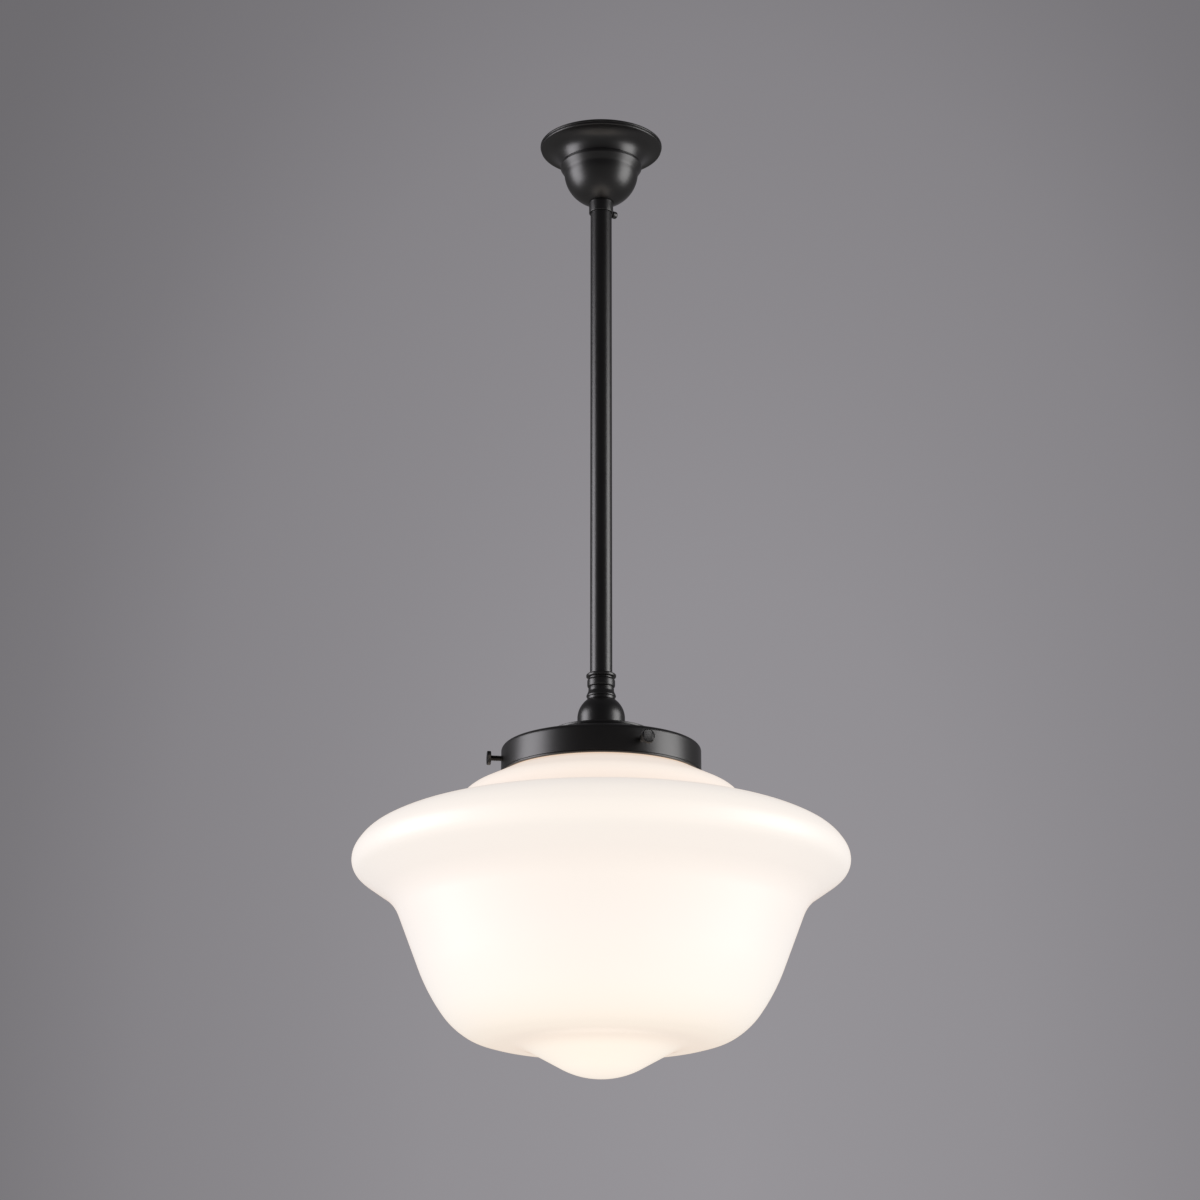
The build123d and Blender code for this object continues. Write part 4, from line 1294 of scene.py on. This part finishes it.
@dataclass
class Gallery(Fitting):
    """Ball cap, raised crown and the gallery that holds the glass, with the clamp inside."""

    hole: float = 5.15
    ball_radius: float = 17.04
    ball_wall: float = 1.2
    ball_top_radius: float = 10.0
    crown_radius: float = 35.5
    crown_wall: float = 1.2
    crown_edge: float = 1.6
    crown_step: float = 0.6
    radius: float = 71.15
    wall: float = 1.2
    shoulder: float = 3.5
    bead_height: float = 1.6
    bead_proud: float = 0.25
    bead_groove: float = 0.35
    boss_radius: float = 3.8
    boss_length: float = 1.9
    screw_hole: float = 2.05
    kept: Kept = (
        ("threaded_nipple", FinishName.ZINC_STEEL, 0.15),
        ("clamp_washer", FinishName.ZINC_STEEL, 0.15),
        ("clamp_nut", FinishName.ZINC_STEEL, 0.3),
    )

    def ball(self) -> BMesh:
        """The half-ball cap with its short straight skirt.

        Returns:
            The cap's mesh.
        """
        low, top = levels("ball_cap")
        middle = top - (self.ball_radius**2 - self.ball_top_radius**2) ** 0.5
        inner, inner_top = self.ball_radius - self.ball_wall, top - self.ball_wall
        return turned([
            Corner(self.hole, inner_top),
            Corner(self.hole, top, 0.15),
            *self.dome(self.ball_radius, middle, top),
            Corner(self.ball_radius, low, 0.2),
            Corner(inner, low, 0.2),
            *reversed(self.dome(inner, middle, inner_top)),
        ])

    @staticmethod
    def dome(radius: float, middle: float, top: float) -> list[Corner]:
        """A ball's outline from a flat top down to its widest line.

        Args:
            radius: The ball's radius.
            middle: The height of its centre.
            top: The height of its flat top.

        Returns:
            The outline's points, from the top down.
        """
        steps = 28
        first = acos((top - middle) / radius)
        angles = [first + (pi / 2 - first) * step / steps for step in range(steps + 1)]
        return [Corner(radius * sin(a), middle + radius * cos(a)) for a in angles]

    def crown(self) -> BMesh:
        """The raised crown: a shallow spun cap with a stepped edge.

        Returns:
            The crown's mesh.
        """
        low, top = levels("crown_cap")
        edge = self.crown_radius - self.crown_step
        return turned([
            Corner(self.hole, top - self.crown_wall),
            Corner(self.hole, top, 0.15),
            Corner(self.crown_radius, top, 0.45),
            Corner(self.crown_radius, top - self.crown_edge, 0.2),
            Corner(edge, top - self.crown_edge - 0.05, 0.1),
            Corner(edge, low),
            Corner(edge - self.crown_wall, low),
            Corner(edge - self.crown_wall, top - self.crown_wall, 0.5),
        ])

    def drum(self) -> BMesh:
        """The gallery's spun drum with its rolled bead.

        Returns:
            The drum's mesh.
        """
        low, top = levels("gallery")
        bead_top = low + self.bead_height
        bore = self.radius - self.wall
        proud = self.radius + self.bead_proud
        return turned([
            Corner(self.hole, top - self.wall),
            Corner(self.hole, top, 0.15),
            Corner(self.radius, top, self.shoulder),
            Corner(self.radius, bead_top + self.bead_groove, 0.1),
            Corner(self.radius - self.bead_groove, bead_top + self.bead_groove / 2, 0.08),
            Corner(self.radius - 0.1, bead_top - 0.1, 0.08),
            Corner(proud, bead_top - 0.2, 0.3),
            Corner(proud, low, 0.95),
            Corner(bore, low, 0.2),
            Corner(bore, top - self.wall, self.shoulder - self.wall),
        ], 256)

    def drill(self, drum: Object) -> None:
        """Adds the screw bosses to the drum and drills them.

        Args:
            drum: The gallery's object, whose mesh is changed.
        """
        for length, radius, operation in (
            (self.boss_length + self.wall / 2, self.boss_radius, "UNION"),
            (4 * self.boss_length, self.screw_hole, "DIFFERENCE"),
        ):
            tool_mesh = bmesh.new()
            for azimuth in THUMB_AZIMUTHS:
                start = self.radius - self.wall - self.boss_length
                start -= 0 if operation == "UNION" else self.boss_length
                bmesh.ops.create_cone(
                    tool_mesh,
                    cap_ends=True,
                    segments=48,
                    radius1=radius,
                    radius2=radius,
                    depth=length,
                    matrix=outward(azimuth, start + length / 2, THUMB_HEIGHT),
                )
            tool_mesh.transform(Matrix.Scale(METRE, 4))
            tool = placed("drill", stored("drill", tool_mesh))
            cut = drum.modifiers.new("screw_bosses", "BOOLEAN")
            cut.operation = operation
            cut.object = tool
            cut.solver = "EXACT"
            graph = bpy.context.evaluated_depsgraph_get()
            result = bpy.data.meshes.new_from_object(drum.evaluated_get(graph))
            drum.modifiers.remove(cut)
            old = drum.data
            drum.data = result
            bpy.data.meshes.remove(old)
            bpy.data.objects.remove(tool)
        shade_smooth(drum.data, SMOOTH_ANGLE)

    def shapes(self) -> None:
        """Builds the caps and the drilled drum under the rod."""
        body = Body.PENDANT.value
        self.piece("ball_cap_spun", self.ball(), body, "ball_cap")
        self.piece("crown_cap_spun", self.crown(), body, "crown_cap")
        drum = self.piece("gallery_drum", self.drum(), body, "gallery")
        self.drill(drum)


@dataclass
class ThumbScrews(Fitting):
    """The knurled screws through the gallery's wall."""

    tip: float = 64.0
    head_inner: float = 79.2
    radius: float = 2.0
    pitch: float = 0.7
    thread_depth: float = 0.36
    head_radius: float = 5.0
    head_thickness: float = 2.4
    head_round: float = 0.5
    ridges: int = 36
    ridge_depth: float = 0.28

    def shapes(self) -> None:
        """Builds each screw's threaded shank and knurled head."""
        foot = self.head_inner + 0.2  # the shank ends a little inside the head
        for number, azimuth in enumerate(THUMB_AZIMUTHS, start=1):
            name = f"thumb_screw_{number}"
            shank = threaded(self.radius, self.thread_depth, self.pitch, self.tip, foot)
            shank.transform(outward(azimuth, 0, THUMB_HEIGHT))
            self.piece(name + "_thread", shank, name, name + "_shank")
            sizes = (self.head_radius, self.head_thickness, self.head_round)
            head = knurled_disc(*sizes, self.ridges, self.ridge_depth)
            head.transform(outward(azimuth, self.head_inner, THUMB_HEIGHT))
            self.piece(name + "_knurled_head", head, f"thumb_knob_{number}", name + "_head")


@dataclass
class Shade(Fitting):
    """The blown opal shade. Heights are from the gallery's lower edge."""

    wall: float = 3.6
    lip_radius: float = 66.7
    lip_height: float = 3.0
    corners: tuple[Corner, ...] = (
        Corner(63.7, 2.9, 5.0),
        Corner(97.5, -13.6, 22.0),
        Corner(106.0, -29.5, 5.0),
        Corner(147.5, -35.5, 80.0),
        Corner(167.9, -47.0, 31.0),
        Corner(175.1, -58.5, 15.0),
        Corner(175.1, -68.05, 12.0),
        Corner(169.9, -73.1, 25.0),
        Corner(145.7, -90.0, 36.0),
        Corner(121.6, -152.9, 140.0),
        Corner(104.8, -177.3, 56.0),
        Corner(90.6, -186.2, 34.0),
        Corner(76.0, -190.2, 50.0),
        Corner(56.0, -191.2, 35.0),
        Corner(15.3, -213.4, 58.0),
    )
    lip_round: float = 0.8
    steps: int = 256
    smooth_angle: float = 60

    def blown(self) -> BMesh:
        """The shade's outer face spun from its outline, given its wall, then its lip.

        Returns:
            The shade's mesh.
        """
        edge, (bottom, top) = levels("gallery")[0], levels("glass_shade")
        raised = [Corner(c.radius, edge + c.height, c.bend) for c in self.corners]
        neck = self.corners[0].radius
        mouth = [Corner(neck, top), Corner(neck, top - self.lip_height)]
        mesh = Outline.through([*mouth, *raised, Corner(0, bottom)]).mesh
        turn_round(mesh, self.steps)
        self.face_out(mesh)
        bmesh.ops.solidify(mesh, geom=mesh.faces[:], thickness=self.wall)
        self.raise_lip(mesh, neck, top)
        bmesh.ops.recalc_face_normals(mesh, faces=mesh.faces[:])
        return mesh

    @staticmethod
    def face_out(mesh: BMesh) -> None:
        """Turns an open shell's faces away from the axis if they look in.

        Args:
            mesh: The shell's mesh.
        """
        widest = max(mesh.faces, key=lambda f: hypot(*f.calc_center_median().xy))
        middle = widest.calc_center_median()
        if widest.normal.x * middle.x + widest.normal.y * middle.y < 0:
            bmesh.ops.reverse_faces(mesh, faces=mesh.faces[:])

    def raise_lip(self, mesh: BMesh, neck: float, top: float) -> None:
        """Extrudes the band round the neck's mouth out to the lip.

        Args:
            mesh: The shade's mesh.
            neck: The neck's outer radius.
            top: The height of the mouth.
        """
        inside = neck - 0.1
        band = []
        for face in mesh.faces:
            middle = face.calc_center_median()
            if middle.z > top - self.lip_height and hypot(middle.x, middle.y) > inside:
                band.append(face)
        made = bmesh.ops.extrude_face_region(mesh, geom=band)
        moved = [g for g in made["geom"] if isinstance(g, BMVert)]
        bmesh.ops.delete(mesh, geom=band, context="FACES")
        grow = self.lip_radius / neck
        bmesh.ops.scale(mesh, vec=(grow, grow, 1), verts=moved)
        rims = loop_edges(mesh, self.lip_radius, top)
        rims += loop_edges(mesh, self.lip_radius, top - self.lip_height)
        bevel = {"offset": self.lip_round, "segments": 4, "profile": 0.5}
        bmesh.ops.bevel(mesh, geom=rims, **bevel, affect="EDGES", material=-1)

    def shapes(self) -> None:
        """Builds the shade."""
        look = {"finish": FinishName.OPAL, "angle": self.smooth_angle}
        self.piece("opal_shade", self.blown(), Body.PENDANT.value, "glass_shade", **look)


@dataclass
class Lampholder(Fitting):
    """Metal cap, moulded body, ceramic insert, screw shell and contacts."""

    kept: Kept = (
        ("holder_cap", FinishName.SATIN_BLACK, 0),
        ("holder_body", FinishName.HOLDER, 0.2),
        ("holder_insert", FinishName.CERAMIC, 0.3),
        ("screw_shell", FinishName.NICKEL, 0),
        ("centre_contact", FinishName.BRASS, 0.1),
        ("holder_terminals", FinishName.BRASS, 0.1),
        ("earth_tag", FinishName.BRASS, 0.1),
        ("holder_screws", FinishName.ZINC_STEEL, 0.1),
    )


@dataclass
class Lamp(Fitting):
    """The screw-in lamp."""

    kept: Kept = (
        ("lamp_cap", FinishName.NICKEL, 0),
        ("lamp_insulator", FinishName.BLACK_GLASS, 0),
        ("lamp_tip", FinishName.SOLDER, 0),
        ("lamp_body", FinishName.LAMP_WHITE, 0),
        ("lamp_diffuser", FinishName.DIFFUSER, 0),
    )


# Studio


@dataclass(frozen=True)
class Softbox:
    """A soft lamp that faces the pendant, with its azimuth to the right of the camera's side."""

    name: str
    azimuth: float
    power: float
    colour: Colour
    elevation: float = 3
    size: tuple[float, float] = (1.3, 1.7)
    distance: float = 1.9
    aim: Colour = (0, 0, -0.35)

    def build(self) -> None:
        """Hangs the lamp."""
        data = bpy.data.lights.new(self.name, "AREA")
        data.shape = "RECTANGLE"
        data.size, data.size_y = self.size
        data.energy = self.power
        data.color = self.colour
        thing = placed(self.name, data)
        turn, lift = radians(self.azimuth), radians(self.elevation)
        away = Vector((sin(turn) * cos(lift), -cos(turn) * cos(lift), sin(lift)))
        thing.location = Vector(self.aim) + away * self.distance
        thing.rotation_euler = away.to_track_quat("Z", "Y").to_euler()
        thing.visible_camera = False


@dataclass
class Studio:
    """The photograph's camera, a plain floor, a grey surround and soft light from both sides."""

    camera_place: Colour = (-0.00085, -1.982, -0.9823)
    camera_tilt: float = 17.39
    lens: float = 86.12
    sensor: float = 36.0
    floor_height: float = -3.2
    floor_size: float = 160.0
    floor_paint: tuple[Colour, Colour] = ((0.72, 0.71, 0.72), (0.76, 0.75, 0.76))
    ambient: float = 0.19
    ambient_colour: Colour = (1, 0.985, 0.97)
    wall_centre: Colour = (0.0434, 0.9936, 0.1045)
    wall_spread: Colour = (1.0, 1.0, 0.45)
    wall_tone: Colour = (1.0, 0.963, 1.025)
    wall: tuple[tuple[float, float], ...] = (
        (0.0, 0.310),
        (0.10, 0.286),
        (0.15, 0.258),
        (0.20, 0.236),
        (0.25, 0.193),
        (0.31, 0.157),
        (0.60, 0.105),
        (1.00, 0.080),
        (1.50, 0.058),
        (2.00, 0.052),
    )
    softboxes: tuple[Softbox, ...] = (
        Softbox("left_softbox", -85, 24, (1.0, 0.975, 1.02)),
        Softbox("right_softbox", 81, 22, (1.0, 0.985, 0.985)),
    )

    def camera(self) -> None:
        """Sets up the camera where the photograph was taken."""
        data = bpy.data.cameras.new("camera")
        data.lens = self.lens
        data.sensor_width = self.sensor
        data.clip_end = 100
        thing = placed("camera", data)
        thing.location = self.camera_place
        thing.rotation_euler = (radians(90 + self.camera_tilt), 0, 0)
        bpy.context.scene.camera = thing

    def floor(self) -> None:
        """Lays the plain pale floor."""
        mesh = bmesh.new()
        bmesh.ops.create_grid(mesh, x_segments=1, y_segments=1, size=self.floor_size / 2)
        bmesh.ops.translate(mesh, verts=mesh.verts[:], vec=(0, 0, self.floor_height))
        thing = placed("floor", stored("floor", mesh))
        sheet = Sheet("floor_paint")
        drift = sheet.noise(sheet.place(), 3.0, 2.0)
        sheet.shade(Base_Color=sheet.blend(drift, *self.floor_paint), Roughness=0.8)
        thing.data.materials.append(sheet.material)

    def surround(self) -> None:
        """Lights the world softly and shows a grey wall, lightest behind the pendant."""
        world = bpy.data.worlds.new("surround")
        bpy.context.scene.world = world
        world.use_nodes = True
        nodes = Nodes(world.node_tree)
        nodes.tree.nodes.clear()
        look = {"Color": self.ambient_colour, "Strength": self.ambient}
        soft = nodes.node("Background", look).outputs[0]
        wall = nodes.node("Background", {"Color": self.wall_colour(nodes)}).outputs[0]
        rays = nodes.node("LightPath", {}).outputs
        seen = rays["Is Camera Ray"]
        for other in ("Is Glossy Ray", "Is Transmission Ray"):
            seen = nodes.math("MAXIMUM", seen, rays[other])
        shown = nodes.node("MixShader", {"Fac": seen, 1: soft, 2: wall})
        nodes.node("OutputWorld", {"Surface": shown.outputs[0]})

    def wall_colour(self, nodes: Nodes) -> NodeSocket:
        """The wall's colour by direction: a lit patch behind the pendant that fades all round it.

        Args:
            nodes: The world's nodes.

        Returns:
            The colour's socket.
        """
        spread, far = Vector(self.wall_spread), self.wall[-1][0]
        centre = Vector(self.wall_centre) * spread
        place = nodes.node("TexCoord", {}).outputs["Generated"]
        scaled = nodes.node("VectorMath", {0: place, 1: spread}, operation="MULTIPLY")
        ends = {0: scaled.outputs["Vector"], 1: centre}
        away = nodes.node("VectorMath", ends, operation="DISTANCE").outputs["Value"]
        share = nodes.node("MapRange", {"Value": away, "From Max": far}).outputs["Result"]
        stops = [(d / far, [grey * tone for tone in self.wall_tone]) for d, grey in self.wall]
        return nodes.ramp(share, stops)

    def build(self) -> None:
        """Builds the whole studio and sets plain colour."""
        self.camera()
        self.floor()
        self.surround()
        for box in self.softboxes:
            box.build()
        bpy.context.scene.view_settings.view_transform = "Standard"


def main() -> None:
    """Builds the pendant's pieces in order, then the studio."""
    logging.basicConfig(level=logging.INFO, format="%(name)s: %(message)s", stream=sys.stdout)
    palette = Palette()
    upper = (CeilingFitting, Swivel, Canopy, RingScrew, Rod, Wiring)
    lower = (Gallery, ThumbScrews, Shade, Lampholder, Lamp)
    for kind in upper + lower:
        kind(palette).build()
        log.info("%s is done", kind.__name__)
    Studio().build()


if __name__ == "__main__":
    main()
